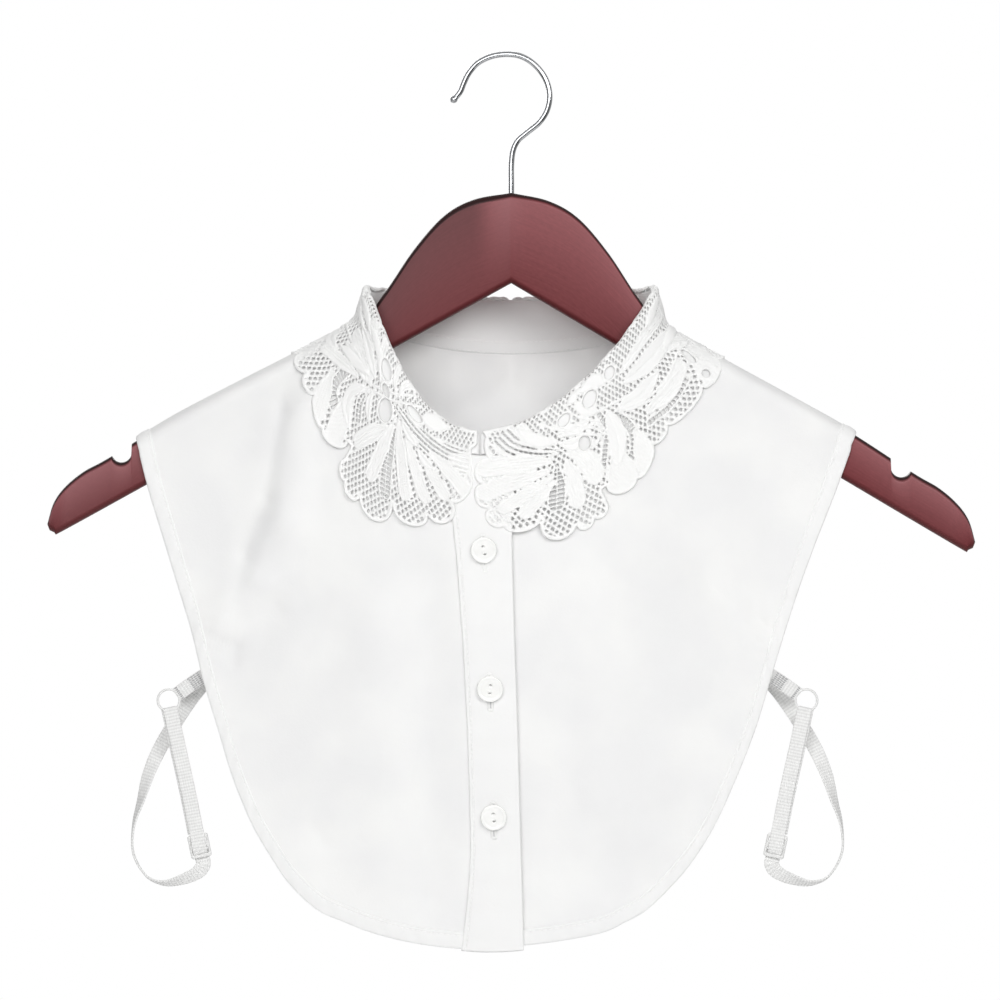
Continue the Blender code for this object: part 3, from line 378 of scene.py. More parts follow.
# Narrow creases in the same way, which only show as shading
CREASES = {
    FRONT: (
        (-109, -158, -108, -170, 4.5, -1.1), (-108, -170, -115, -212, 4.5, -1.3),
        (-115, -212, -125, -239, 5, -1.3), (-125, -239, -130, -268, 5, -1.2),
        (-130, -282, -131, -290, 4, -1.0), (-92, -370, -86, -377, 5, -0.9),
        (-120, -250, -104, -262, 5, 0.8), (96, -254, 123, -272, 4.5, -0.9), (112, -262, 122, -283, 4, 0.8),
        (-60, -300, -70, -372, 9, -0.8), (30, -300, 34, -390, 8, -0.9), (78, -300, 70, -372, 10, 0.8),
        (-88, -200, -98, -240, 6, -0.8), (118, -196, 126, -236, 8, -0.8), (100, -190, 104, -230, 9, 0.7),
    ),
    BACK: (
        (-96, -180, -112, -236, 7, -1.0), (-112, -236, -130, -270, 5, -1.0), (90, -176, 100, -232, 7, -1.0),
        (100, -232, 118, -268, 5, -1.0), (0, -200, -4, -380, 16, 1.0), (-50, -300, -48, -392, 8, -0.9),
        (40, -290, 38, -392, 8, -0.9), (72, -290, 66, -372, 9, 0.8), (-88, -290, -80, -372, 9, 0.8),
    ),
}
# Where a strap is sewn on, the edge ripples: X, Z, reach, depth and the ripples' length
PUCKERS = {
    FRONT: ((-137, -276, 9, 0.42, 6.5), (124, -281, 9, 0.38, 6.0)),
    BACK: ((-134, -276, 9, 0.4, 6.5), (121, -281, 9, 0.4, 6.0)),
}


def neck(side, turn, level):
    """The ring round the neck at a turn from the centre front (0) to the centre back (180).

    An ellipse from above; its height falls from the side to the centre as a power of the cosine.
    Level 0 is the seam, and level 1 the fold of the stand.
    """
    turn, level = np.broadcast_arrays(np.radians(turn), np.asarray(level, float))
    cosine, front = np.cos(turn), np.cos(turn) > 0

    def between(pair):
        return pair[0] + (pair[1] - pair[0]) * level

    side_z = between((hanger_top(RING_X + side * HALF_WIDTH[0]) + RISE, FOLD_SIDE_Z))
    x = RING_X + CENTRE_SHIFT * np.where(front, cosine**2, 0) + side * between(HALF_WIDTH) * np.sin(turn)
    y = np.where(front, -between(FRONT_REACH), -between(BACK_REACH)) * cosine
    fall = np.where(front, np.abs(cosine) ** FALL_POWER[side], cosine**2)
    centre_z = np.where(front, between(FRONT_Z), between(BACK_Z))
    return np.stack([x, y, side_z - (side_z - centre_z) * fall], axis=-1)


def outer_edge(side, face):
    """The outer edge from the shoulder tip to the hem's centre, as X and Z."""
    tip = TIP_X[side]
    knots = [(row[1 if side == LEFT else 2], row[0]) for row in EDGE]
    path = smooth_path([(tip, float(hanger_top(tip)) + RISE), *knots, HEM_CENTRE[side]], 200)
    if face == BACK:
        middle = HEM_CENTRE[side][0]
        drop = (path[0, 1] - path[:, 1]) / (path[0, 1] - path[-1, 1])
        slim = 1 - (1 - BACK_SLIM) * smooth(drop * 4)
        path = np.stack([middle + (path[:, 0] - middle) * slim, path[:, 1] + BACK_RAISE * drop], axis=-1)
    return path


def band_edge(z, column):
    """Where the band's seam (1) or fold (2) lies at a height."""
    table = np.array(BAND)
    return np.interp(-np.asarray(z), -table[:, 0], table[:, column])


def centre_x(face, z):
    """Where the centre line lies at a height."""
    if face == BACK:
        share = smooth((BACK_Z[0] - z) / (BACK_Z[0] - HEM_CENTRE[LEFT][1]))
        return RING_X + (HEM_CENTRE[LEFT][0] - RING_X) * share
    return (band_edge(z, 1) + band_edge(z, 2)) / 2


def fold_height(face, x, z):
    """How far the folds lift the cloth: each is a bell of the distance from its line."""
    total = np.zeros_like(x)
    for x0, z0, x1, z1, width, height in FOLDS[face] + CREASES[face]:
        along_x, along_z = x1 - x0, z1 - z0
        share = np.clip(((x - x0) * along_x + (z - z0) * along_z) / (along_x**2 + along_z**2), 0, 1)
        away = np.hypot(x - x0 - share * along_x, z - z0 - share * along_z)
        total += height * np.exp(-((away / width) ** 2))
    for x0, z0, reach, height, length in PUCKERS[face]:
        away = np.hypot(x - x0, z - z0)
        phase = 2 * np.pi * (z - z0 + 0.3 * (x - x0)) / length
        total += height * np.exp(-((away / reach) ** 2)) * np.cos(phase)
    return total


def quarter(side, face):
    """One quarter of the cloth's middle surface, as a function of two shares.

    "Around" runs from the shoulder seam (0) to the centre line (1) along the neck seam, and
    "out" from the neck seam (0) to the outer edge (1). The first stretch of "around" lies on
    the hanger's arm as a quarter circle. Below it the surface is a Coons patch between that
    circle's end, the neck seam, the outer edge and the centre line, moved out by the folds.
    """
    seam = neck(side, np.linspace(90, 0 if face == FRONT else 180, 200), 0)
    shares = run_of(seam)
    shares /= shares[-1]
    wrap_end = np.interp(WRAP, np.abs(seam[:, 1]), shares)
    edge = outer_edge(side, face)
    edge_drop = edge[0, 1] - edge[:, 1]
    wrap_row = int(np.searchsorted(edge_drop, WRAP))
    lower_edge = np.vstack([[np.interp(WRAP, edge_drop, edge[:, 0]), edge[0, 1] - WRAP], edge[wrap_row:]])

    def on_seam(around):
        return read_at(around, shares, seam)

    def on_arm(around, out):
        start = on_seam(around)
        lean = np.arcsin(np.clip(np.abs(start[..., 1]) / WRAP, 0, 1))
        sink = WRAP * (1 - np.cos(lean))
        x = start[..., 0] + (np.interp(sink, edge_drop, edge[:, 0]) - start[..., 0]) * out
        lifted = start[..., 2] - (hanger_top(start[..., 0]) + RISE - sink)
        z = hanger_top(x) + RISE - sink + lifted * (1 - smooth(out / CALM_NECK))
        return np.stack([x, -face * WRAP * np.sin(lean), z], axis=-1)

    def on_edge(down):
        flat = spaced(lower_edge, down)
        depth = WRAP + (HEM_DEPTH[face] - WRAP) * down**DEPTH_POWER
        return np.stack([flat[..., 0], -face * depth, flat[..., 1]], axis=-1)

    def on_centre(out):
        top, low = seam[-1], on_edge(np.array(1.0))
        z = top[2] + (low[2] - top[2]) * out
        x = centre_x(face, z)
        x = x + (top[0] - centre_x(face, top[2])) * (1 - out) + (low[0] - centre_x(face, low[2])) * out
        return np.stack([x, top[1] + (low[1] - top[1]) * out, z], axis=-1)

    def surface(around, out):
        around, out = np.broadcast_arrays(np.asarray(around, float), np.asarray(out, float))
        down = np.clip((around - wrap_end) / (1 - wrap_end), 0, 1)
        s, t = down[..., None], out[..., None]
        arm = [on_arm(wrap_end, np.array(share)) for share in (0.0, 1.0)]
        centre = [on_centre(np.array(share)) for share in (0.0, 1.0)]
        flat = (1 - s) * ((1 - t) * arm[0] + t * arm[1]) + s * ((1 - t) * centre[0] + t * centre[1])
        lower = (
            (1 - t) * on_seam(wrap_end + (1 - wrap_end) * down) + t * on_edge(down)
            + (1 - s) * on_arm(np.full_like(out, wrap_end), out) + s * on_centre(out) - flat
        )
        points = np.where((around <= wrap_end)[..., None], on_arm(np.minimum(around, wrap_end), out), lower)
        calm = smooth(down / CALM_ARM) * smooth(out / CALM_NECK)
        if face == FRONT:
            calm = calm * (1 - smooth((around - 1 + CALM_BAND) / CALM_BAND))
        points[..., 1] -= face * calm * fold_height(face, points[..., 0], points[..., 2])
        return points

    return surface, wrap_end


def shares_from_edge(surface, around, widths):
    """For each row, the shares of "out" that lie these distances in from the outer edge."""
    out = np.linspace(0.6, 1, 160)
    rows = surface(np.asarray(around)[:, None], out[None, :])
    left = np.cumsum(np.linalg.norm(np.diff(rows, axis=1), axis=2)[:, ::-1], axis=1)[:, ::-1]
    left = np.hstack([left, np.zeros((len(left), 1))])
    return np.array([np.interp(-np.asarray(widths, float), -row, out) for row in left])


def share_at_band(surface, out, column, clear):
    """The share of "around" at the band's seam or fold, for each share of "out"."""
    around = np.linspace(0.6, 1, 200)
    points = surface(around[:, None], np.asarray(out)[None, :])
    beyond = points[..., 0] - band_edge(points[..., 2], column) - clear
    side = 1 if column == 1 else -1
    return np.array([np.interp(0, side * beyond[:, k], around) for k in range(beyond.shape[1])])


def behind_band(points):
    """The left front lies behind the band, and comes forward beside it."""
    beside = points[..., 0] - band_edge(points[..., 2], 2)
    sunk = points.copy()
    sunk[..., 1] += LAP_SINK * (1 - smooth((beside - 1) / LAP_FADE))
    return sunk


def cloth_rows(wrap_end, count):
    """Shares of "around": even turns over the arm, then even steps to the centre."""
    turns = np.radians(np.linspace(0.4, 90, 14))
    return np.concatenate([wrap_end * np.sin(turns), np.linspace(wrap_end, 1, count)[1:]])


UNDER_BAND = 2.0  # how far the right front runs under the band


def cloth_shift(side, face, surface, rows, out):
    """The rows' shares at each "out", moved so that the right front ends under the band."""
    if side == RIGHT or face == BACK:
        return rows[:, None] + 0 * out
    downs = np.linspace(0, 1, 40)
    limit = share_at_band(surface, downs, 1, UNDER_BAND)
    return rows[:, None] + (np.interp(out, downs, limit) - 1) * rows[:, None] ** 4


def cloth_grid(side, face, count=125, columns=96):
    """Middle points of one quarter of the cloth, from the neck seam to just inside the turned edge."""
    surface, wrap_end = quarter(side, face)
    rows = cloth_rows(wrap_end, count)
    out = shares_from_edge(surface, rows, [1.2]) * np.linspace(0, 1, columns)[None, :]
    points = surface(cloth_shift(side, face, surface, rows, out), out)
    return behind_band(points) if side == RIGHT and face == FRONT else points


def thicken(target, thick):
    """A wall about an open surface, half on each side."""
    wall = target.modifiers.new("Wall", "SOLIDIFY")
    wall.thickness, wall.offset = thick * MM, 0
    return target


def outward_quads(grid, face):
    """Quads of a grid of cloth, turned so that they face away from the body."""
    faces = grid_quads(*grid.shape[:2])
    row, column = grid.shape[0] // 2, grid.shape[1] // 2
    middle, below, beside = grid[row, column], grid[row + 1, column], grid[row, column + 1]
    return faces if np.cross(beside - middle, below - middle)[1] * -face > 0 else faces[:, ::-1]


# Crepe: twisted yarns in a plain weave make a pebbled, matt white cloth. The yarns, 0.25 mm
# apart, are drawn as pebbles of 1.1 mm, because finer ones would not show.
PEBBLE, CLOUD, PEBBLE_DEPTH = 0.0011, 0.03, 0.00022
crepe, tree, shader = new_finish(
    "white crepe", Roughness=0.85, Specular_IOR_Level=0.25, Sheen_Weight=0.12, Sheen_Roughness=0.5,
)
place = add(tree, "TexCoord")
pebble = add(tree, "TexNoise", {"Vector": place.outputs["Object"], "Scale": 1 / PEBBLE, "Detail": 3.0})
pebble.inputs["Roughness"].default_value = 0.6
cloud = add(tree, "TexNoise", {"Vector": place.outputs["Object"], "Scale": 1 / CLOUD, "Detail": 2.0})
tone = add(tree, "MapRange", {"Value": cloud.outputs["Fac"], "From Min": 0.35, "From Max": 0.65})
tree.links.new(two_tones(tree, tone.outputs["Result"], "#F6F6F6", "#FCFCFB"), shader.inputs["Base Color"])
bump(tree, shader, pebble.outputs["Fac"], PEBBLE_DEPTH, 0.35)
let_through(tree, shader, "#FFFFFF", 0.2)

CUTS = {
    # name: side, flat width and length, and area of the cut, in metres and square metres
    "front_right": (LEFT, (0.175, 0.325), 0.0335), "front_left": (RIGHT, (0.185, 0.325), 0.0360),
}
for name, (side, cut, area) in CUTS.items():
    grid = cloth_grid(side, FRONT)
    faces = outward_quads(grid, FRONT)
    front = piece(name + "_cloth", grid.reshape(-1, 3), faces, crepe, flat=grid[..., ::2] * MM)
    thicken(front, CLOTH)
    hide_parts(name)

left_back, right_back = cloth_grid(LEFT, BACK), cloth_grid(RIGHT, BACK)
grid = np.concatenate([left_back, right_back[-2::-1]])
back = piece("back_cloth", grid.reshape(-1, 3), outward_quads(grid, BACK), crepe, flat=grid[..., ::2] * MM)
thicken(back, CLOTH)
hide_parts("back_panel")


# The turned edge.
# The raw edge is turned under twice, 8 mm wide, and held by one row of machine stitches near
# its inner fold. The hem is a little wavy, as curved hems are, and ripples at the straps.

BIND_WIDTH, HEM_HALF, STITCH_IN = 8.0, 0.85, 6.5
STITCH_PITCH, STITCH_LONG, STITCH_RADIUS = 2.8, 2.1, 0.17


# The same crepe where it lies double: it lets less light through, so it looks whiter.
doubled, tree, shader = new_finish(
    "doubled white crepe", Roughness=0.85, Specular_IOR_Level=0.25, Sheen_Weight=0.12,
)
place = add(tree, "TexCoord")
pebble = add(tree, "TexNoise", {"Vector": place.outputs["Object"], "Scale": 1 / PEBBLE, "Detail": 3.0})
pebble.inputs["Roughness"].default_value = 0.6
cloud = add(tree, "TexNoise", {"Vector": place.outputs["Object"], "Scale": 1 / CLOUD, "Detail": 2.0})
tree.links.new(two_tones(tree, cloud.outputs["Fac"], "#E9E9E9", "#EEEEED"), shader.inputs["Base Color"])
bump(tree, shader, pebble.outputs["Fac"], PEBBLE_DEPTH, 0.35)


def hem_profile():
    """Distances in from the edge and heights of the hem's section: two flat layers and a round edge."""
    flat_in = np.array([8.0, 7.85, 7.5, 6.9, 6.5, 6.1, 5.2, 3.8, 2.4, 1.5])
    flat_up = np.array([0.40, 0.66, 0.80, 0.78, 0.66, 0.80, 0.90, 0.92, 0.90, 0.87])
    turn = np.radians(np.linspace(0, 180, 9))
    round_in, round_up = 1.3 * (1 - np.sin(turn)), HEM_HALF * np.cos(turn)
    inward = np.concatenate([flat_in, round_in, flat_in[::-1]])
    return inward, np.concatenate([flat_up, round_up, -flat_up[::-1]])


def on_cloth(side, face, surface, around, out):
    """Points of the cloth and the normals that point away from the body."""
    step = 1e-3
    near, far = np.clip(around - step, 0, 1), np.clip(around + step, 0, 1)
    less, more = np.clip(out - step, 0, 1), np.clip(out + step, 0, 1)

    def at(a, b):
        points = surface(a, b)
        return behind_band(points) if side == RIGHT and face == FRONT else points

    normal = unit(np.cross(at(far, out) - at(near, out), at(around, more) - at(around, less)))
    facing = np.where((normal @ np.array([0, -face, 0.6])) < 0, -1.0, 1.0)
    return at(around, out), normal * facing[..., None]


def hem_grid(side, face, count):
    """The hem's rings along the outer edge, and the line of its stitches with their normals."""
    surface, wrap_end = quarter(side, face)
    rows = cloth_rows(wrap_end, count)
    inward, height = hem_profile()
    out = shares_from_edge(surface, rows, inward)
    around = cloth_shift(side, face, surface, rows, out)
    points, normals = on_cloth(side, face, surface, around, out)
    edge = points[:, np.argmin(inward)]
    run = run_of(edge)
    wave = 0.16 * np.sin(run / 2.3 + 1.0) + 0.12 * np.sin(run / 1.37 + 0.4) + 0.10 * np.sin(run / 4.1)
    wave = wave[:, None] * np.sin(np.pi * np.clip(inward / BIND_WIDTH, 0, 1))[None, :]
    rings = points + normals * (height[None, :] + wave)[..., None]
    stitched = int(np.argmin(np.abs(inward[:10] - STITCH_IN)))
    return rings, points[:, stitched], normals[:, stitched]


def capped(rings):
    """Rings with both ends drawn in to a point, so that welding closes them, and their quads."""
    ends = [np.broadcast_to(rings[k].mean(axis=0), rings[k].shape)[None] for k in (0, -1)]
    return ringed(np.concatenate([ends[0], rings, ends[1]]))


def stitch_beads(places, ahead, normals, long, radius):
    """Small beads of thread: a six-sided spindle at each place, along "ahead"."""
    turn = np.linspace(0, 2 * np.pi, 6, endpoint=False)
    station = np.array([-0.5, -0.42, 0.0, 0.42, 0.5]) * long
    size = np.array([0.0, 0.75, 1.0, 0.75, 0.0]) * radius
    beside = np.cross(ahead, normals)
    lift = np.array([0.0, 0.6, 1.0, 0.6, 0.0]) * radius * 0.5
    ring = np.cos(turn)[:, None, None] * normals[None] + np.sin(turn)[:, None, None] * beside[None]
    rows = [
        places[None] + ahead[None] * station[k] + ring * size[k] + normals[None] * lift[k] for k in range(5)
    ]
    beads = np.stack(rows).transpose(2, 0, 1, 3)
    one = grid_quads(5, 6, wrap=True)
    faces = (one[None] + (np.arange(len(places)) * 30)[:, None, None]).reshape(-1, 4)
    return beads.reshape(-1, 3), faces


def stitches_along(line, normals, lift, pitch=STITCH_PITCH, long=STITCH_LONG, radius=STITCH_RADIUS):
    """Beads at an even pitch along a line on the cloth, lifted off it along its normals."""
    length = np.linalg.norm(np.diff(line, axis=0), axis=1).sum()
    shares = (np.arange(int(length / pitch)) + 0.5) * pitch / length
    run = run_of(line) / length
    places = read_at(shares, run, line)
    up = unit(read_at(shares, run, normals))
    tangent = np.gradient(line, axis=0)
    ahead = read_at(shares, run, tangent)
    ahead = unit(ahead - up * (ahead * up).sum(axis=1, keepdims=True))
    return stitch_beads(places + up * lift, ahead, up, long, radius)


def joined(parts):
    """Several sets of points and faces as one."""
    points = np.concatenate([part[0] for part in parts])
    starts = np.cumsum([0] + [len(part[0]) for part in parts[:-1]])
    return points, np.concatenate([part[1] + start for part, start in zip(parts, starts)])


# Sewing thread, spun polyester: the eye sees small, slightly shiny white beads.
thread, tree, shader = new_finish("sewing thread", Roughness=0.6, Sheen_Weight=0.15)
place = add(tree, "TexCoord")
ply = add(tree, "TexNoise", {"Vector": place.outputs["Object"], "Scale": 1 / 0.0004, "Detail": 1.0})
tree.links.new(two_tones(tree, ply.outputs["Fac"], "#E9E9E8", "#FAFAF9"), shader.inputs["Base Color"])
bump(tree, shader, ply.outputs["Fac"], 0.00008, 0.5)

HEMS = {
    # name: face, sides, flat width and length of the strip
    "binding_front_right": (FRONT, (LEFT,), (0.010, 0.320)),
    "binding_front_left": (FRONT, (RIGHT,), (0.010, 0.320)),
    "binding_back": (BACK, (LEFT, RIGHT), (0.010, 0.62)),
}
for name, (face, sides, cut) in HEMS.items():
    grids = [hem_grid(side, face, 260) for side in sides]
    rings = grids[0][0] if len(grids) == 1 else np.concatenate([grids[0][0], grids[1][0][-2::-1]])
    hem = piece(name.replace("binding", "hem"), *capped(rings), doubled, weld=True)
    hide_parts(name)
    beads = []
    for _, line, normals in grids:
        beads.append(stitches_along(line, normals, 0.72))
        beads.append(stitches_along(line, -normals, 0.72))
    stitched = piece(name.replace("binding", "hem") + "_stitches", *joined(beads), thread, weld=True)


# The front band.
# A straight strip of the same crepe, folded in half and pressed, then stitched to the right
# front's edge. Three upright buttonholes are worked through both layers in close stitches.

BAND_WIDE, BAND_LIFT, BAND_HALF = 29.0, 0.75, 0.62
SEAM_DROP, FOLD_DROP = 0.6, 0.3
BAND_STITCH_IN = 2.4
BUTTON_HEIGHTS = (-236.2, -302.4, -363.8)


def band_surface():
    """The band's middle as a function of shares across and down it: a parabola through its seam,
    its middle line and its fold."""
    left, right = quarter(LEFT, FRONT)[0], quarter(RIGHT, FRONT)[0]
    down = np.linspace(0, 1, 25)
    seam = left(share_at_band(left, down, 1, 0), down)
    middle = left(np.ones_like(down), down)
    fold = right(share_at_band(right, down, 2, 0), down)
    for line, share in ((seam, SEAM_DROP), (fold, FOLD_DROP)):
        line[:, 2] = middle[:, 2] + (line[:, 2] - middle[:, 2]) * share

    def surface(across, along):
        across, along = np.broadcast_arrays(np.asarray(across, float), np.asarray(along, float))
        u = across[..., None]
        total = 0
        weights = (1 - u) * (1 - 2 * u), 4 * u * (1 - u), u * (2 * u - 1)
        for line, weight in zip((seam, middle, fold), weights):
            total = total + weight * read_at(along, down, line)
        return total

    return surface


band_middle = band_surface()


def on_band(across, along):
    """Points of the band's middle and the normals that point to the front."""
    surface, step = band_middle, 2e-3
    near = surface(across, np.clip(along - step, 0, 1))
    far = surface(across, np.clip(along + step, 0, 1))
    normal = unit(np.cross(surface(across + step, along) - surface(across - step, along), far - near))
    facing = np.where(normal[..., 1] > 0, -1.0, 1.0)
    return surface(across, along), normal * facing[..., None]


def band_rings(rows=260):
    """The band's section, two layers with a round edge at each side, carried down the front."""
    inward = np.array([0, 0.12, 0.35, 0.8, 1.5, 2.1, BAND_STITCH_IN, 2.7, 3.6, 6, 9.5, 14.5])
    inward = np.concatenate([inward, BAND_WIDE - inward[-2::-1]])
    nearest = np.minimum(inward, BAND_WIDE - inward)
    height = BAND_HALF * np.sqrt(1 - (1 - np.clip(nearest / 0.8, 0, 1)) ** 2)
    height = height - 0.22 * np.exp(-(((inward - BAND_STITCH_IN) / 0.4) ** 2))
    across = np.concatenate([inward, inward[-2:0:-1]]) / BAND_WIDE
    up = np.concatenate([height, -height[-2:0:-1]])
    along = np.linspace(0.004, 1, rows)
    across, along = np.broadcast_arrays(across[None, :], along[:, None])
    points, normals = on_band(across, along)
    ripple = 0.10 * np.sin(along * 61) * np.sin(np.pi * across) + 0.08 * np.sin(along * 113 + 1)
    return points + normals * (BAND_LIFT + up[None, :] + ripple)[..., None]


rings = band_rings()
band = piece("front_band_cloth", *capped(rings), doubled, weld=True)
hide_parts("front_band")

along = np.linspace(0.02, 0.995, 300)
seam_line, seam_normals = on_band(np.full(300, BAND_STITCH_IN / BAND_WIDE), along)
beads = stitches_along(seam_line, seam_normals, BAND_LIFT + 0.5, pitch=2.3, long=2.2, radius=0.24)
stitched = piece("front_band_stitches", *beads, thread, weld=True)


def band_frame(height):
    """A place on the band's middle at a height: the place, the way right, the way up and the normal."""
    along = np.linspace(0, 1, 400)
    line, normals = on_band(np.full(400, 0.5), along)
    at = int(np.argmin(np.abs(line[:, 2] - height)))
    normal = normals[at]
    right = unit(np.cross(line[at - 3] - line[at + 3], normal))
    return line[at], right, np.cross(normal, right), normal


HOLE_LONG, HOLE_WIDE, HOLE_DROP, HOLE_STITCHES = 16.5, 1.5, 1.6, 34
hole_beads, slits = [], []
for height in BUTTON_HEIGHTS:
    place, right, up, normal = band_frame(height)
    lift = normal * (BAND_LIFT + BAND_HALF)
    middle = place - up * HOLE_DROP + lift
    step = np.linspace(-0.5, 0.5, HOLE_STITCHES) * HOLE_LONG
    for side in (LEFT, RIGHT):
        places = middle + up * step[:, None] + right * side * HOLE_WIDE * 0.62
        ahead, out = np.broadcast_to(right, places.shape), np.broadcast_to(normal, places.shape)
        hole_beads.append(stitch_beads(places, ahead, out, HOLE_WIDE, 0.27))
    for end in (-1, 1):
        places = middle + up * end * (HOLE_LONG / 2 + 0.3) + right * np.linspace(-1, 1, 5)[:, None] * 0.9
        ahead, out = np.broadcast_to(up, places.shape), np.broadcast_to(normal, places.shape)
        hole_beads.append(stitch_beads(places, ahead, out, 1.6, 0.26))
    # A thin grey tube along the cut, as the cut's painted shade.
    line = middle + up * np.linspace(-0.46, 0.46, 12)[:, None] * HOLE_LONG - normal * 0.02
    slit = tube(line, 0.16, 8, across=normal)
    slits.append(ringed(slit))
worked = piece("buttonhole_stitches", *joined(hole_beads), thread, weld=True)

# The cut of a buttonhole: a narrow gap, so deep for its width that it looks grey. Its shade is
# painted: a thin grey tube is laid along the cut.
slit_shade, tree, shader = new_finish("buttonhole painted shade", Roughness=1.0)
place = add(tree, "TexCoord")
fray = add(tree, "TexNoise", {"Vector": place.outputs["Object"], "Scale": 1 / 0.0008})
tree.links.new(two_tones(tree, fray.outputs["Fac"], "#B4B4B6", "#CFCFD1"), shader.inputs["Base Color"])
cut_lines = piece("buttonhole_shade_tubes", *joined(slits), slit_shade, weld=True)


# The collar stand.
# A strip of doubled crepe round the neck that carries the lace. It is sewn to the neck seam,
# where two rows of stitches hold a narrow tape inside, and it opens at the centre front.

STAND_HALF = 0.55


def stand_rings():
    """The stand's closed section, from just below the seam to under the lace's fold, round the neck."""
    turns = np.linspace(0.35, 180, 150)
    level = np.concatenate([[0, 0.02, 0.06], np.linspace(0.12, 0.88, 9), [0.94, 0.98, 1.0]])
    nearest = np.minimum(level, 1 - level)
    height = STAND_HALF * np.sqrt(1 - (1 - np.clip(nearest / 0.06, 0, 1)) ** 2)
    levels = np.concatenate([level, level[-2:0:-1]])
    up = np.concatenate([height, -height[-2:0:-1]])
    halves = []
    for side in (LEFT, RIGHT):
        t, l = np.broadcast_arrays(turns[:, None], levels[None, :] * 0.985)
        points = neck(side, t, l)
        ahead = neck(side, t + 0.5, l) - neck(side, t - 0.5, l)
        rise = neck(side, t, l + 0.05) - neck(side, t, l - 0.05)
        halves.append(points + unit(np.cross(ahead, rise) * side) * up[None, :, None])
    return np.concatenate([halves[0], halves[1][-2::-1]])


rings = stand_rings()
stand = piece("stand_cloth", *capped(rings), doubled, weld=True)
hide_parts("collar_stand")


def inside_ring(level, inward, count=260):
    """A line round the inside of the neck at a level, and the normals that point to the neck."""
    turns = np.linspace(1.5, 180, count)
    line, normals = [], []
    for side in (LEFT, RIGHT):
        points = neck(side, turns, level)
        ahead = neck(side, turns + 0.5, level) - neck(side, turns - 0.5, level)
        rise = neck(side, turns, level + 0.05) - neck(side, turns, level - 0.05)
        inner = -unit(np.cross(ahead, rise) * side)
        line.append(points + inner * inward)
        normals.append(inner)
    return np.concatenate([line[0], line[1][-2::-1]]), np.concatenate([normals[0], normals[1][-2::-1]])


# The tape's section: levels on the stand, and distances in from it
TAPE = ((-0.10, 0.30), (-0.09, 0.62), (-0.02, 0.85), (0.12, 0.85), (0.19, 0.72), (0.20, 0.50))
rings = np.stack([inside_ring(level, inward)[0] for level, inward in TAPE], axis=1)
tape = piece("neck_tape", *capped(rings), doubled, weld=True)
tape_beads = [
    stitches_along(*inside_ring(level, 0.0), 0.88, pitch=2.4, long=1.8) for level in (-0.05, 0.16)
]
stitched = piece("neck_tape_stitches", *joined(tape_beads), thread, weld=True)


# The lace fall.
# Guipure: cotton satin stitch worked by machine on a ground that is then dissolved, so that
# thick cords, ribbed petals and leaves hold each other, with net and ladder bars between.
# Each half is sewn to the top of the stand and falls outside it, over the cloth.

LACE_LIFT, ROLL = 1.35, 4.0
# The lace's flat pattern is a fan: the fold's radius, the angle of a quarter, and its depth
LACE_RADIUS, LACE_TURN, LACE_DEPTH = 122.0, math.radians(42.5), 76.0
GROUND_LINES, GROUND_POINTS = 121, 161
LACE_END = 1.991
# The edge's cusps: share round the neck, distance from the fold, and the scallop's bulge
SCALLOPS = {
    LEFT: (
        (0.010, 0, 0), (0.012, 6.0, 0.4), (0.040, 9.0, 0.5), (0.038, 21.5, 3.6), (0.105, 36.0, 6.0),
        (0.190, 47.0, 6.5), (0.330, 52.5, 8.5), (0.460, 63.0, 4.0), (0.540, 64.0, 3.2), (0.584, 57.0, 0),
        (0.582, 50.5, 0), (0.600, 50.5, 4.6), (0.715, 58.0, 2.5), (0.810, 52.5, 3.5),
        (0.885, 50.0, 4.0),
    ),
    RIGHT: (
        (0.010, 0, 0), (0.024, 3.0, 1.0), (0.030, 13.0, 4.2), (0.002, 25.0, 4.0), (0.020, 37.0, 4.0),
        (0.065, 46.5, 4.2), (0.185, 47.0, 8.0), (0.285, 57.5, 3.6), (0.345, 58.5, 3.2), (0.403, 56.0, 0),
        (0.400, 49.0, 0), (0.419, 49.0, 4.8), (0.525, 56.0, 3.8), (0.625, 48.5, 3.0),
        (0.705, 47.5, 3.4), (0.860, 49.5, 4.6),
    ),
}
SCALLOPS_BEHIND = (
    (0.962, 48, 4.5), (1.050, 46, 6.0), (1.170, 50, 7.0), (1.310, 54, 6.5), (1.440, 50, 7.0),
    (1.570, 50, 6.5), (1.700, 52, 6.5), (1.820, 48, 6.0), (1.920, 42, 3.5), (LACE_END, 38, 0),
)
# Oval openings: share, distance from the fold, length, width and turn
WINDOWS = {
    LEFT: (
        (0.585, 10, 8.4, 7.6, 20), (0.505, 22.5, 10.0, 8.6, 60), (0.350, 9.5, 9.6, 4.4, 10),
        (0.545, 16.4, 6.0, 3.4, 0),
    ),
    RIGHT: (
        (0.485, 10, 7.2, 6.4, 60), (0.600, 7.5, 6.0, 4.6, 60), (0.355, 10, 5.4, 5.0, 0),
        (0.405, 25.5, 6.4, 5.0, 80), (0.915, 35.5, 9.0, 2.4, 95), (0.900, 47, 4.0, 2.6, 90),
    ),
}
WINDOWS_BEHIND = (
    (1.120, 11, 8.4, 7.0, 20), (1.200, 24, 10.0, 8.0, 60), (1.360, 12, 8.0, 5.0, 10),
    (1.520, 11, 8.4, 7.0, 20), (1.600, 24, 10.0, 8.0, 60), (1.780, 12, 8.0, 5.0, 10),
)
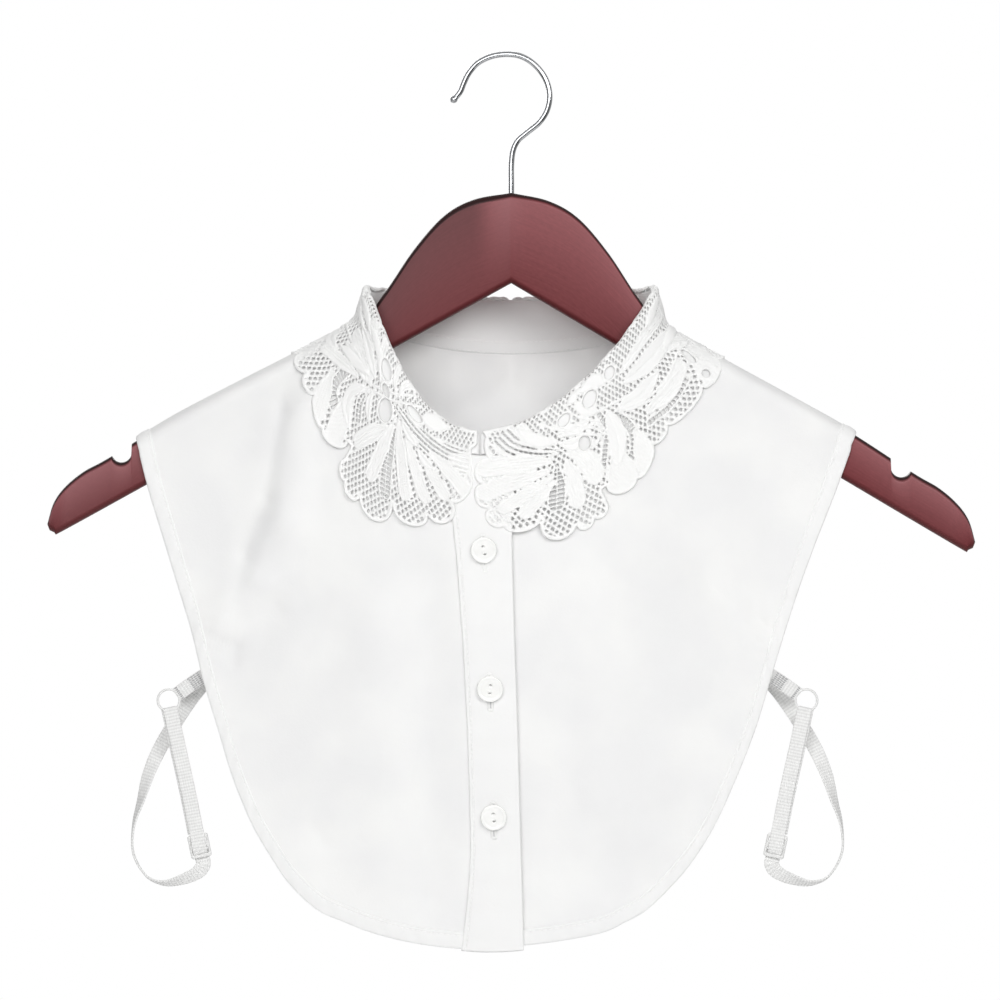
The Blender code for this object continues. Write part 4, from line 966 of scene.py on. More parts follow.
# The stitched forms of the front: kind, width, and a route of shares and distances across
FORMS = {
    LEFT: (
        ("fan", 12.6, ((0.45, 15.4), (0.30, 15.4), (0.16, 15.8), (0.045, 16.0))),
        ("satin", 4.6, ((0.88, 28.5), (0.77, 25.2), (0.67, 21.5))),
        ("petal", 7.6, ((0.69, 18.5), (0.74, 12.8), (0.73, 1.0))),
        ("petal", 4.4, ((0.65, 21.0), (0.65, 11.5), (0.63, -1.0))),
        ("satin", 4.6, ((0.82, 12.5), (0.91, 10.2), (0.93, 0.0))),
        ("rib", 1.2, ((0.68, 21.0), (0.84, 22.5), (0.94, 21.5), (1.00, 21.2))),
        ("leaf", 5.4, ((0.88, 31.5), (0.95, 31.0), (1.00, 25.8))),
        ("petal", 3.0, ((0.48, 12.5), (0.51, 8.2), (0.50, -1.0))),
        ("petal", 3.0, ((0.46, 11.5), (0.45, 5.5), (0.40, -1.0))),
        ("petal", 6.0, ((0.22, 18.5), (0.12, 23.0), (0.045, 31.5))),
        ("petal", 5.3, ((0.27, 22.0), (0.19, 28.0), (0.125, 36.0))),
        ("petal", 5.5, ((0.36, 20.0), (0.27, 30.8), (0.20, 41.5))),
        ("petal", 6.2, ((0.41, 20.0), (0.34, 33.0), (0.28, 46.5))),
        ("leaf", 4.1, ((0.41, 17.5), (0.35, 19.4), (0.29, 20.5))),
        ("leaf", 4.1, ((0.29, 21.5), (0.24, 23.6), (0.19, 25.0))),
        ("bars", 7.2, ((0.43, 20.5), (0.41, 36.5), (0.365, 54.0))),
        ("petal", 6.2, ((0.44, 24.0), (0.45, 40.2), (0.455, 53.2))),
        ("petal", 6.5, ((0.47, 28.0), (0.54, 39.8), (0.575, 48.0))),
        ("satin", 7.0, ((0.30, 7.5), (0.22, 4.0), (0.16, 2.2))),
        ("ladder", 6.7, ((0.76, 25.8), (0.785, 34.2), (0.775, 43.2), (0.70, 47.5))),
        ("leaf", 5.5, ((0.65, 26.0), (0.70, 34.0), (0.69, 40.5), (0.62, 46.2))),
        ("bars", 4.8, ((0.63, 25.5), (0.64, 33.2), (0.60, 40.8))),
        ("leaf", 3.6, ((0.61, 23.2), (0.60, 29.2), (0.555, 35.0))),
        ("petal", 9.6, ((0.70, 34.8), (0.675, 48.2), (0.65, 60.0))),
        ("petal", 7.4, ((0.83, 38.5), (0.79, 48.2), (0.745, 58.0))),
        ("leaf", 5.3, ((0.65, 24.2), (0.76, 24.0), (0.88, 25.5))),
        ("petal", 5.0, ((0.64, 23.0), (0.73, 20.8), (0.88, 18.5))),
        ("leaf", 5.3, ((0.62, 19.2), (0.71, 16.0), (0.86, 13.2))),
        ("satin", 6.2, ((0.60, 16.0), (0.66, 9.4), (0.77, 6.6))),
        ("satin", 5.5, ((0.76, 9.5), (0.84, 6.2), (0.92, 4.2))),
        ("rib", 1.3, ((0.62, 24.4), (0.48, 15.2), (0.31, 3.0))),
        ("rib", 1.3, ((0.62, 22.0), (0.49, 12.6), (0.36, 1.6))),
        ("petal", 4.8, ((0.72, 27.8), (0.84, 32.6), (0.94, 36.5))),
    ),
    RIGHT: (
        ("fan", 11.5, ((0.29, 21.0), (0.20, 15.0), (0.13, 9.5), (0.085, 3.0))),
        ("petal", 6.0, ((1.00, 12.5), (0.86, 10.5), (0.77, 9.8))),
        ("satin", 3.8, ((0.60, 3.8), (0.59, 11.8))),
        ("satin", 4.4, ((0.38, 4.5), (0.45, 2.5))),
        ("rib", 1.2, ((0.37, 13.5), (0.43, 19.5), (0.49, 26.0))),
        ("rib", 1.2, ((0.25, 4.8), (0.36, 16.5), (0.47, 27.2))),
        ("petal", 5.3, ((1.05, 26.5), (1.00, 36.2), (0.97, 40.8))),
        ("petal", 7.4, ((0.96, 40.5), (0.92, 48.5), (0.875, 55.0))),
        ("rib", 1.2, ((0.59, 25.8), (0.71, 31.8), (0.83, 32.4), (0.94, 28.5))),
        ("rib", 1.2, ((0.61, 28.2), (0.73, 34.4), (0.85, 35.2))),
        ("satin", 5.0, ((1.03, 23.2), (0.95, 22.5), (0.87, 23.5))),
        ("leaf", 5.0, ((0.91, 2.5), (0.96, 6.0), (1.00, 19.2))),
        ("petal", 4.8, ((0.24, 15.8), (0.20, 9.2), (0.155, 0.6))),
        ("rib", 1.3, ((0.39, 28.2), (0.45, 29.0), (0.48, 26.2), (0.47, 19.8), (0.41, 12.5))),
        ("petal", 7.0, ((0.25, 23.0), (0.11, 18.2), (-0.018, 18.4))),
        ("petal", 7.0, ((0.23, 27.2), (0.10, 26.5), (-0.014, 31.0))),
        ("petal", 5.5, ((0.25, 30.5), (0.15, 33.8), (0.05, 38.8))),
        ("petal", 5.3, ((0.25, 33.5), (0.18, 38.6), (0.12, 44.0))),
        ("satin", 5.3, ((0.16, 3.2), (0.22, 11.0), (0.30, 17.5))),
        ("leaf", 4.8, ((0.32, 13.8), (0.39, 17.2), (0.46, 18.0))),
        ("leaf", 4.8, ((0.31, 18.5), (0.37, 22.8), (0.44, 22.6))),
        ("bars", 7.7, ((0.28, 27.0), (0.26, 35.8), (0.235, 47.0))),
        ("petal", 6.5, ((0.32, 28.5), (0.32, 39.0), (0.31, 50.5))),
        ("petal", 7.7, ((0.35, 25.0), (0.39, 34.2), (0.405, 45.5))),
        ("ladder", 4.1, ((0.50, 19.5), (0.51, 27.5), (0.48, 32.2), (0.435, 41.0))),
        ("leaf", 7.9, ((0.535, 19.8), (0.53, 32.8), (0.49, 45.5))),
        ("ladder", 5.3, ((0.56, 26.0), (0.59, 35.0), (0.565, 43.8), (0.52, 47.0))),
        ("petal", 12.0, ((0.50, 38.8), (0.485, 50.2), (0.465, 60.2))),
        ("petal", 8.0, ((0.60, 38.5), (0.585, 49.5), (0.565, 56.8))),
        ("leaf", 7.4, ((0.57, 23.4), (0.68, 27.6), (0.80, 27.5))),
        ("leaf", 8.4, ((0.98, 22.0), (0.80, 20.4), (0.64, 17.0))),
        ("petal", 7.2, ((0.68, 36.0), (0.79, 37.2), (0.89, 33.5))),
        ("ladder", 4.1, ((0.66, 40.2), (0.75, 42.4), (0.85, 41.0))),
        ("satin", 5.5, ((0.44, 3.4), (0.52, 4.4), (0.56, 9.4))),
        ("satin", 5.5, ((0.42, 6.5), (0.46, 13.2), (0.50, 17.8))),
        ("leaf", 5.3, ((0.64, 12.2), (0.74, 11.2), (0.84, 10.4))),
        ("satin", 5.3, ((0.83, 7.8), (0.90, 5.5), (0.96, 4.0))),
        ("petal", 6.7, ((0.91, 38.6), (0.905, 47.8), (0.89, 55.5))),
        ("petal", 5.5, ((0.87, 24.0), (0.93, 26.5), (0.97, 31.5))),
        ("rib", 1.3, ((0.50, 17.8), (0.57, 20.2), (0.64, 23.2))),
        ("rib", 1.3, ((0.32, 15.6), (0.41, 19.6), (0.50, 21.2))),
    ),
}

FULLNESS = {"petal": 1.22, "bars": 1.1, "leaf": 1.15, "satin": 1.1}
NET_PITCH, NET_THREAD = 2.4, 0.54
ROW_PITCH, FAN_PITCH, FAN_CROSS, BAR_PITCH = 1.3, 2.1, 2.2, 1.9
EDGE_CORD, WINDOW_CORD = 0.85, 0.6


def lace_line(side, face, around, cloth):
    """One line across the lace: over the stand's fold, down outside the stand, then on over the
    cloth, a fixed lift away from both, and smoothed."""
    step = 1e-3
    turns = np.linspace(90, 0 if face == FRONT else 180, 200)
    seam = neck(side, turns, 0)
    shares = run_of(seam)
    turn = float(np.interp(around, shares / shares[-1], turns))
    levels = np.linspace(1, 0.12, 8)
    stand = neck(side, turn, levels)
    ahead = neck(side, turn + 0.5, levels) - neck(side, turn - 0.5, levels)
    out = unit(np.cross(ahead, neck(side, turn, 1.0) - neck(side, turn, 0.0)) * side)
    over = stand[0] + np.array([0, 0, 1.5])
    inner = neck(side, turn, 0.80) - out[0] * 1.5
    first = [inner, neck(side, turn, 0.93) - out[0] * 1.5, stand[0] - out[0] * 1.2 + np.array([0, 0, 0.7])]
    first += [over, stand[0] + out[0] * 1.5 + np.array([0, 0, 0.9])]
    reach = np.linspace(0.05, 0.88, 30)
    inside = np.clip(around, 2 * step, 1 - 2 * step)
    points = cloth(inside, reach)
    along = cloth(inside + step, reach) - cloth(inside - step, reach)
    normal = unit(np.cross(along, cloth(inside, reach + step) - cloth(inside, reach - step)))
    normal *= np.sign(normal @ np.array([0, -face, 1.0]))[:, None]
    path = np.vstack([first, stand[1:] + out[1:] * LACE_LIFT, points + normal * LACE_LIFT])
    rolled = np.linalg.norm(np.diff(np.array(first[:4]), axis=0), axis=1).sum()
    path = spaced(path, np.linspace(0, 1, 160))
    for _ in range(3):
        path[1:-1] = (path[:-2] + 2 * path[1:-1] + path[2:]) / 4
    run = run_of(path) - rolled
    return read_at(np.linspace(-ROLL, LACE_DEPTH, GROUND_POINTS), run, path)


def lace_ground(side):
    """Places and outward normals under one half of the lace, by share round and distance across."""
    cloths = {FRONT: quarter(side, FRONT)[0], BACK: quarter(side, BACK)[0]}
    lines = []
    for share in np.linspace(0, 2, GROUND_LINES):
        face = FRONT if share <= 1 else BACK
        lines.append(lace_line(side, face, 1 - share if face == FRONT else share - 1, cloths[face]))
    ground = np.array(lines)
    for _ in range(8):
        ground[1:-1] = (ground[:-2] + 2 * ground[1:-1] + ground[2:]) / 4
    normal = unit(np.cross(np.gradient(ground, axis=0), np.gradient(ground, axis=1)) * -side)
    return np.concatenate([ground, normal], axis=-1)


def read_ground(ground, share, across):
    """Values of the ground, linear between its points."""
    rows, columns = ground.shape[:2]
    row = np.clip(share / 2 * (rows - 1), 0, rows - 1.001)
    column = np.clip((across + ROLL) / (LACE_DEPTH + ROLL) * (columns - 1), 0, columns - 1.001)
    i, j = row.astype(int), column.astype(int)
    u, v = (row - i)[..., None], (column - j)[..., None]
    near = ground[i, j] * (1 - v) + ground[i, j + 1] * v
    return near * (1 - u) + (ground[i + 1, j] * (1 - v) + ground[i + 1, j + 1] * v) * u


def flat_place(share, across):
    """A share round the neck and a distance across, on the flat fan: an angle and a radius."""
    turn, radius = np.asarray(share) * LACE_TURN, LACE_RADIUS + np.asarray(across)
    return np.stack([radius * np.sin(turn), radius * np.cos(turn)], axis=-1)


def scalloped(cusps):
    """The edge through the cusps, with a half ellipse bulging out to the left of each chord."""
    cusps = np.array(cusps)
    places = flat_place(cusps[:, 0], cusps[:, 1])
    edge = []
    for start, end, bulge in zip(places, places[1:], cusps[:, 2]):
        chord = end - start
        outward = unit(np.array([-chord[1], chord[0]]))
        count = max(3, round((np.hypot(*chord) + bulge) / 1.1))
        turn = np.linspace(0, math.pi, count, endpoint=False)[:, None]
        edge.append(start + chord * (1 - np.cos(turn)) / 2 + outward * bulge * np.sin(turn))
    return np.concatenate(edge + [places[-1:]])


def lace_outline(side):
    """The flat outline: the scalloped edge, the centre back and the fold."""
    edge = scalloped(SCALLOPS[side] + SCALLOPS_BEHIND)
    behind = flat_place(np.full(12, LACE_END), np.linspace(SCALLOPS_BEHIND[-1][1], -0.5, 13)[1:])
    fold = np.linspace(LACE_END, 0.010, 400)[1:-1]
    rolled = 2.2 * np.abs(np.sin(fold * 19 + side)) ** 0.7
    rolled = -0.6 - rolled * smooth((fold - 0.03) / 0.1) * smooth((LACE_END - fold) / 0.05)
    return np.concatenate([edge, behind, flat_place(fold, rolled)])


def nearest_on(route, places):
    """Distance to a route, the side of it, and how far along it the nearest point lies, in millimetres."""
    start, chord = route[:-1], np.diff(route, axis=0)
    long = np.hypot(*chord.T)
    rel = places[:, None] - start[None]
    share = np.clip((rel * chord).sum(axis=2) / long**2, 0, 1)
    away = np.linalg.norm(rel - share[..., None] * chord, axis=2)
    best = away.argmin(axis=1)
    each = np.arange(len(places))
    cross = chord[best, 0] * rel[each, best, 1] - chord[best, 1] * rel[each, best, 0]
    run = np.concatenate([[0], np.cumsum(long)])[best] + share[each, best] * long[best]
    return away[each, best], np.sign(cross), run, long.sum()


def inside_outline(places, outline):
    """Whether each place lies inside a closed outline: an odd number of edges cross its ray."""
    x, y = places[:, 0, None], places[:, 1, None]
    x0, y0 = outline.T
    x1, y1 = np.roll(outline, -1, axis=0).T
    rise = np.where(y1 == y0, 1, y1 - y0)
    return (((y0 > y) != (y1 > y)) & (x < x0 + (y - y0) / rise * (x1 - x0))).sum(axis=1) % 2 == 1


def dome(away, half):
    """The height of a round cord: sqrt(1 - (d / r)^2), 0 outside."""
    return np.sqrt(np.maximum(1 - (away / half) ** 2, 0))


def form_fields(kind, width, route, places):
    """How far inside a stitched form each place is, how far inside its thread, and the thread's height.

    The half width is a function of the share along the spine: a petal widens from its root and
    ends round, a leaf is pointed at both ends, and a ladder keeps its width.
    """
    away, side, run, length = nearest_on(route, places)
    share = run / length
    tip = dome(np.maximum(run - length + width / 2, 0), width / 2)
    half = {
        "rib": np.full_like(share, width / 2),
        "petal": width / 2 * (0.42 + 0.58 * smooth(share / 0.45)) * tip,
        "fan": width / 2 * (0.3 + 0.7 * smooth(share / 0.8)) * dome(np.maximum(run - length + 2.5, 0), 2.5),
        "bars": width / 2 * (0.42 + 0.58 * smooth(share / 0.45)) * tip,
        "leaf": width / 2 * np.sin(np.pi * np.clip(share, 0.02, 0.98)) ** 0.7,
        "satin": width / 2 * np.sin(np.pi * np.clip(share, 0.04, 0.96)) ** 0.5,
        "ladder": np.full_like(share, width / 2),
    }[kind]
    inside = half - away
    rim = dome(inside - 0.6, 0.6)
    if kind == "rib":
        return inside, inside, 1.15 * dome(away, half)
    if kind in ("bars", "ladder"):
        bar = 0.36 - np.abs((run / BAR_PITCH) % 1 - 0.5) * BAR_PITCH
        spine = 0.42 - away if kind == "bars" else np.full_like(away, -1.0)
        thread = np.maximum(np.maximum(0.55 - np.abs(inside - 0.55), bar), spine)
        height = np.maximum(0.5 * dome(np.minimum(bar - 0.36, 0), 0.36), 0.6 * dome(away, 0.42))
        return inside, np.minimum(thread, inside), np.maximum(0.95 * rim, height)
    if kind == "fan":
        between = np.abs((away * side / FAN_PITCH + 0.5) % 1 - 0.5) * FAN_PITCH
        crossing = 0.34 - np.abs((run / FAN_CROSS) % 1 - 0.5) * FAN_CROSS
        thread = np.maximum(np.maximum(0.70 - between, crossing), 0.9 - inside)
        height = np.maximum(0.85 * dome(between, 0.72), np.maximum(0.9 * rim, 0.25))
        return inside, np.minimum(thread, inside), height
    if kind == "petal":
        between = np.abs((away * side / ROW_PITCH + 0.5) % 1 - 0.5) * ROW_PITCH
        rows = 0.12 + 0.70 * dome(between, 0.67)
        return inside, inside, np.maximum(rows, 1.05 * rim) * (0.7 + 0.3 * smooth(share / 0.4))
    if kind == "leaf":
        body = 0.82 - 0.42 * np.exp(-((away / 0.4) ** 2)) + 0.05 * np.cos(2 * np.pi * (run + away) / 0.95)
        return inside, inside, np.maximum(body, 0.55 + 0.45 * rim)
    stitch = 0.045 * np.cos(2 * np.pi * (run + 0.3 * away * side) / 0.9)
    return inside, inside, 0.62 + 0.62 * dome(away, half + 0.3) + stitch


def net_fields(share, across):
    """The net ground: two families of slanting cords, 2.4 mm apart, as distances inside them."""
    around = share * LACE_TURN * (LACE_RADIUS + 32)
    steps = [(around + slant * across) / NET_PITCH for slant in (0.58, -0.58)]
    lines = [np.abs(step % 1 - 0.5) * NET_PITCH * 0.86 for step in steps]
    away = np.minimum(*lines)
    knot = np.exp(-((lines[0] ** 2 + lines[1] ** 2) / 0.5))
    return NET_THREAD - away, 0.46 * dome(away, NET_THREAD) + 0.16 * knot


def all_forms(side):
    """Every form of one half: those of the front, then the other side's front turned round for the back."""
    behind = [
        (kind, width, tuple((2 - max(share, 0.03), across) for share, across in route))
        for kind, width, route in FORMS[-side]
    ]
    return list(FORMS[side]) + behind


def lace_fields(side, share, across):
    """The distance inside the lace's thread and the height of its relief over a grid of the flat fan."""
    places = flat_place(share, across)
    field, height = net_fields(share, across)
    order = {"fan": 0, "ladder": 1, "bars": 2, "petal": 3, "leaf": 4, "satin": 5, "rib": 6}
    for kind, width, knots in sorted(all_forms(side), key=lambda form: order[form[0]]):
        width = width * FULLNESS.get(kind, 1.0)
        route = smooth_path(flat_place(*np.array(knots).T), 16)
        low, high = route.min(axis=0) - width, route.max(axis=0) + width
        near = ((places > low) & (places < high)).all(axis=-1)
        inside, thread, relief = form_fields(kind, width, route, places[near])
        if kind == "rib":
            field[near] = np.maximum(field[near], thread)
            height[near] = np.maximum(height[near], relief)
            continue
        covered = inside > 0
        field[near] = np.where(covered, thread, np.maximum(field[near], inside))
        height[near] = np.where(covered, relief, height[near])
    for at_share, at_across, long, wide, turned in WINDOWS[side] + WINDOWS_BEHIND:
        lean = math.radians(turned) - at_share * LACE_TURN
        rel = places - flat_place(at_share, at_across)
        x = rel[..., 0] * math.cos(lean) + rel[..., 1] * math.sin(lean)
        y = rel[..., 1] * math.cos(lean) - rel[..., 0] * math.sin(lean)
        outside = (np.hypot(x / (long / 2), y / (wide / 2)) - 1) * math.sqrt(long * wide) / 2
        cord = WINDOW_CORD - np.abs(outside - WINDOW_CORD)
        field = np.where(outside > 2 * WINDOW_CORD, field, np.maximum(field, cord))
        height = np.maximum(height * (outside > 0.2), 0.9 * dome(outside - WINDOW_CORD, WINDOW_CORD))
        field = np.minimum(field, outside)
    outline = lace_outline(side)
    flat = places.reshape(-1, 2)
    away = nearest_on(np.vstack([outline, outline[:1]]), flat)[0]
    away = (away * np.where(inside_outline(flat, outline), 1, -1)).reshape(share.shape)
    cord = EDGE_CORD - np.abs(away - EDGE_CORD)
    field = np.where(away < 2 * EDGE_CORD, np.maximum(field, cord), field)
    height = np.maximum(height, 0.98 * dome(away - EDGE_CORD, EDGE_CORD))
    return np.minimum(field, away), height


def cut_plate(field, values):
    """Triangles of a grid, cut along the line where the field is 0.

    Each grid square is two triangles. One wholly inside is kept, and one that the line crosses
    is cut where the field, linear along an edge, is 0. Returns the values read at the kept
    points, the triangles, and whether each point lies on the cut.
    """
    rows, columns = field.shape
    small = 0.03
    value = np.where(np.abs(field) < small, np.where(field < 0, -small, small), field).ravel()
    index = np.arange(rows * columns).reshape(rows, columns)
    a, b, c, d = (index[:-1, :-1], index[1:, :-1], index[1:, 1:], index[:-1, 1:])
    tris = np.concatenate([np.stack([a, b, c], -1).reshape(-1, 3), np.stack([a, c, d], -1).reshape(-1, 3)])
    tris = tris[(value[tris] > 0).any(axis=1)]
    kept = (value[tris] > 0).sum(axis=1)
    whole = tris[kept == 3]

    def turned(group, odd):
        first = odd.argmax(axis=1)
        return group[np.arange(len(group))[:, None], (first[:, None] + np.arange(3)) % 3]

    ones = turned(tris[kept == 1], value[tris[kept == 1]] > 0)
    twos = turned(tris[kept == 2], value[tris[kept == 2]] < 0)
    edges = np.concatenate([ones[:, [0, 1]], ones[:, [0, 2]], twos[:, [0, 1]], twos[:, [0, 2]]])
    edges = np.sort(edges, axis=1)
    keys, where = np.unique(edges[:, 0] * (rows * columns) + edges[:, 1], return_inverse=True)
    near, far = keys // (rows * columns), keys % (rows * columns)
    share = value[near] / (value[near] - value[far])
    where = where + rows * columns
    n1, n2 = len(ones), len(twos)
    e1, e2, e3, e4 = np.split(where, [n1, 2 * n1, 2 * n1 + n2])
    tris = np.concatenate([
        whole, np.stack([ones[:, 0], e1, e2], -1),
        np.stack([e3, twos[:, 1], twos[:, 2]], -1), np.stack([e3, twos[:, 2], e4], -1),
    ])
    flat = values.reshape(rows * columns, -1)
    read = np.concatenate([flat, flat[near] + (flat[far] - flat[near]) * share[:, None]])
    used, tris = np.unique(tris, return_inverse=True)
    return read[used], tris.reshape(-1, 3), used >= rows * columns


def two_sided(places, normals, tris, on_cut, top, bottom):
    """A closed plate: its upper and lower points share the cut line."""
    upper = places + normals * np.where(on_cut, 0, top)[:, None]
    lower = places + normals * np.where(on_cut, 0, bottom)[:, None]
    index = np.where(on_cut, np.arange(len(places)), len(places) + np.cumsum(~on_cut) - 1)
    return np.concatenate([upper, lower[~on_cut]]), np.concatenate([tris, index[tris][:, ::-1]])


# Mercerised cotton satin stitch: the eye sees close, slightly glossy threads, white. Where the
# relief is low the colour is painted greyer, as painted shade in the hollows. Threads 0.3 mm
# apart are drawn at 0.5 mm.
guipure, tree, shader = new_finish(
    "cotton guipure", Roughness=0.62, Specular_IOR_Level=0.4, Sheen_Weight=0.1,
)
place = add(tree, "UVMap", uv_map="flat")
strands = add(tree, "TexNoise", {"Vector": place.outputs["UV"], "Scale": 1 / 0.0005, "Detail": 2.0})
strands.inputs["Roughness"].default_value = 0.6
raised = add(tree, "Attribute", attribute_name="relief")
# Painted shade: the colour greyer where the relief is low.
painted_hollow_shade = add(tree, "MapRange", {"Value": raised.outputs["Fac"], "From Min": 0.1, "From Max": 0.5})
tree.links.new(two_tones(tree, painted_hollow_shade.outputs["Result"], "#EBEBEA", "#FEFEFD"), shader.inputs["Base Color"])
bump(tree, shader, strands.outputs["Fac"], 0.00012, 0.4)
let_through(tree, shader, "#FFFFFF", 0.18)

EDGE_CAP = 0.7
grounds = {side: lace_ground(side) for side in (LEFT, RIGHT)}


def make_lace(side, name, node):
    """One half of the lace: the relief on a fine polar grid, cut at its edges and laid on the ground."""
    middle = LACE_TURN * (LACE_RADIUS + 32)
    fine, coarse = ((0.47, 0.90))
    shares = np.concatenate([np.arange(-0.045, 1, fine / middle), np.arange(1, 2.0, coarse / middle)])
    across = np.arange(-ROLL, 75, fine)
    share, across = np.meshgrid(shares, across, indexing="ij")
    field, height = lace_fields(side, share, across)
    cap = np.sqrt(np.maximum(EDGE_CAP**2 - (EDGE_CAP - np.clip(field, 0, EDGE_CAP)) ** 2, 0)) * 1.35
    top = np.where(field < EDGE_CAP, np.minimum(height, cap), height)
    values, tris, on_cut = cut_plate(field, np.stack([share, across, top], axis=-1))
    share, across, top = values.T
    own = read_ground(grounds[side], share, across)
    other = read_ground(grounds[-side], -share, across)
    ground = np.where(share[:, None] < 0, other, own)
    wave = 0.22 * np.sin(share * 31 + side) * smooth(across / 50) + 0.12 * np.sin(share * 53 + across / 9)
    places = ground[:, :3] + ground[:, 3:] * (wave * smooth(across / 30))[:, None]
    faces = tris if side == LEFT else tris[:, ::-1]
    points, faces = two_sided(places, unit(ground[:, 3:]), faces, on_cut, top, -0.35 * top)
    flat_xy = flat_place(share, across)
    flat = np.concatenate([flat_xy, flat_xy[~on_cut]]) * MM
    relief = np.concatenate([np.where(on_cut, 0, top), np.where(on_cut, 0, top)[~on_cut]])
    made = piece(name, points, faces, guipure, flat=flat, marks=[("relief", relief)])
    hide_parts(node)


make_lace(LEFT, "lace_fall_right", "lace_right")
make_lace(RIGHT, "lace_fall_left", "lace_left")


# The buttons.
# Three flat buttons turned from white polyester, 12.5 mm across, with a raised rim and two
# holes. Each is sewn through with white thread and stands on the band in its buttonhole.

BUTTON_RADIUS, RIM_IN, RIM_OUT, BUTTON_THICK, DISH = 6.25, 4.4, 5.3, 2.0, 1.7
HOLE_RADIUS, HOLE_SPACING = 0.62, 3.3
BUTTON_TURN = (12, -8, 6)

# Cast polyester, polished: the eye sees a clean white with a soft, slightly pearly shine.
button_stuff, tree, shader = new_finish(
    "polished polyester", Roughness=0.22, Coat_Weight=0.3, Coat_Roughness=0.15,
)
place = add(tree, "TexCoord")
swirl = add(tree, "TexNoise", {"Vector": place.outputs["Object"], "Scale": 1 / 0.004, "Detail": 2.0})
tree.links.new(two_tones(tree, swirl.outputs["Fac"], "#ECECEA", "#F8F8F6"), shader.inputs["Base Color"])

step = np.arange(-6.6, 6.61, 0.2)
x, z = np.meshgrid(step, step, indexing="ij")
radius = np.hypot(x, z)
holes = np.minimum(np.hypot(x, z - HOLE_SPACING / 2), np.hypot(x, z + HOLE_SPACING / 2)) - HOLE_RADIUS
field = np.minimum(BUTTON_RADIUS - radius, holes)
edge_round = np.sqrt(1 - (1 - np.clip(field / 0.55, 0, 1)) ** 2)
rim = smooth((radius - RIM_IN) / (RIM_OUT - RIM_IN))
top = 1.0 + edge_round * (DISH - 1.0 + (BUTTON_THICK - DISH) * rim)
values, tris, on_cut = cut_plate(field, np.stack([x, z, top - 1.0, -0.8 * edge_round], axis=-1))
sewing = []
for number, height in enumerate(BUTTON_HEIGHTS):
    place, right, up, normal = band_frame(height)
    turn = math.radians(BUTTON_TURN[number])
    side_way = right * math.cos(turn) + up * math.sin(turn)
    up_way = up * math.cos(turn) - right * math.sin(turn)
    middle = place + normal * (BAND_LIFT + BAND_HALF + 1.15)
    places = middle + side_way * values[:, :1] + up_way * values[:, 1:2]
    normals = np.broadcast_to(normal, places.shape)
    points, faces = two_sided(places, normals, tris, on_cut, values[:, 2], values[:, 3])
    button = piece(f"sewn_button_{number + 1}", points, faces, button_stuff, weld=True)
    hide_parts(f"button_{number + 1}")
    for shift in (-0.42, 0, 0.42):
        low, high = (-HOLE_SPACING / 2 - 0.1, HOLE_SPACING / 2 + 0.1)
        run = np.linspace(low, high, 14)
        bow = 0.75 * np.sqrt(np.maximum(1 - (run / high) ** 4, 0)) - 0.35
        line = middle + side_way * shift + up_way * run[:, None] + normal * bow[:, None]
        sewing.append(ringed(tube(line, 0.24, 8, across=normal)))
sewn = piece("button_thread", *joined(sewing), thread, weld=True)


# The side straps.
# White ribbed elastic, 7 mm wide. A short tab on the front holds a ring; from the ring the
# elastic runs doubled to a slider, turns back as a loop and is sewn to the back's edge. Rows of
# close stitches hold its ends.

STRAP_MIDDLE, ELASTIC_WIDTH, LAYER_APART = -9.4, 7.0, (0.9, 0.55)
RING_PLACE, RING_RADIUS, RING_WIRE = (-162.2, -4.0, -308.6), 5.25, 0.6
# Routes of the left side: X, Y, Z and how far the elastic's width is turned towards Y
TAB_ROUTE = (
    (-139.5, -7.6, -293.6, 0), (-148, -6.0, -298.6, 0), (-156.8, -4.2, -304.8, 0), (-158.6, -4.0, -306.1, 0),
)
STRAP_ROUTE = (
    (-161.6, -4.0, -312.0, 0), (-157.5, -3.2, -331, 0), (-152.5, -2, -354, 0), (-148.9, -1, -372.5, 0),
)
TURN_ROUTE = (
    (-149.3, -1.2, -370.5, 0), (-148.6, -2.2, -373.8, 0), (-147.9, -2.65, -377.6, 0),
    (-147.4, -2.3, -380.6, 0), (-146.9, -1.2, -382.4, 0),
)
SLIDER_PLACE, SLIDER_TURN = (-147.6, -1.0, -378.6), 12
SLIDER_SIZE, SLIDER_SLOT, SLIDER_BAR = (10.0, 11.5), (7.4, 2.9), 1.8
LOOP_ROUTE = (
    (-147.0, 0.6, -380.5, 0), (-146.3, 0.2, -384.4, 0), (-145.7, -0.9, -387.4, 0),
    (-148.6, -0.2, -391.4, 20), (-156.5, 0.8, -395, 45),
    (-165.2, 1.8, -396.6, 70), (-173.5, 2.2, -393, 84), (-179.6, 2.2, -382, 88), (-179.4, 2.4, -369, 80),
    (-176, 3.2, -357, 60), (-172.2, 4.6, -344, 30), (-166.6, 6.0, -331.4, 10), (-158.6, 6.8, -318, 0),
    (-150.6, 6.6, -306.4, 0), (-142.0, 6.2, -296.2, 0),
)

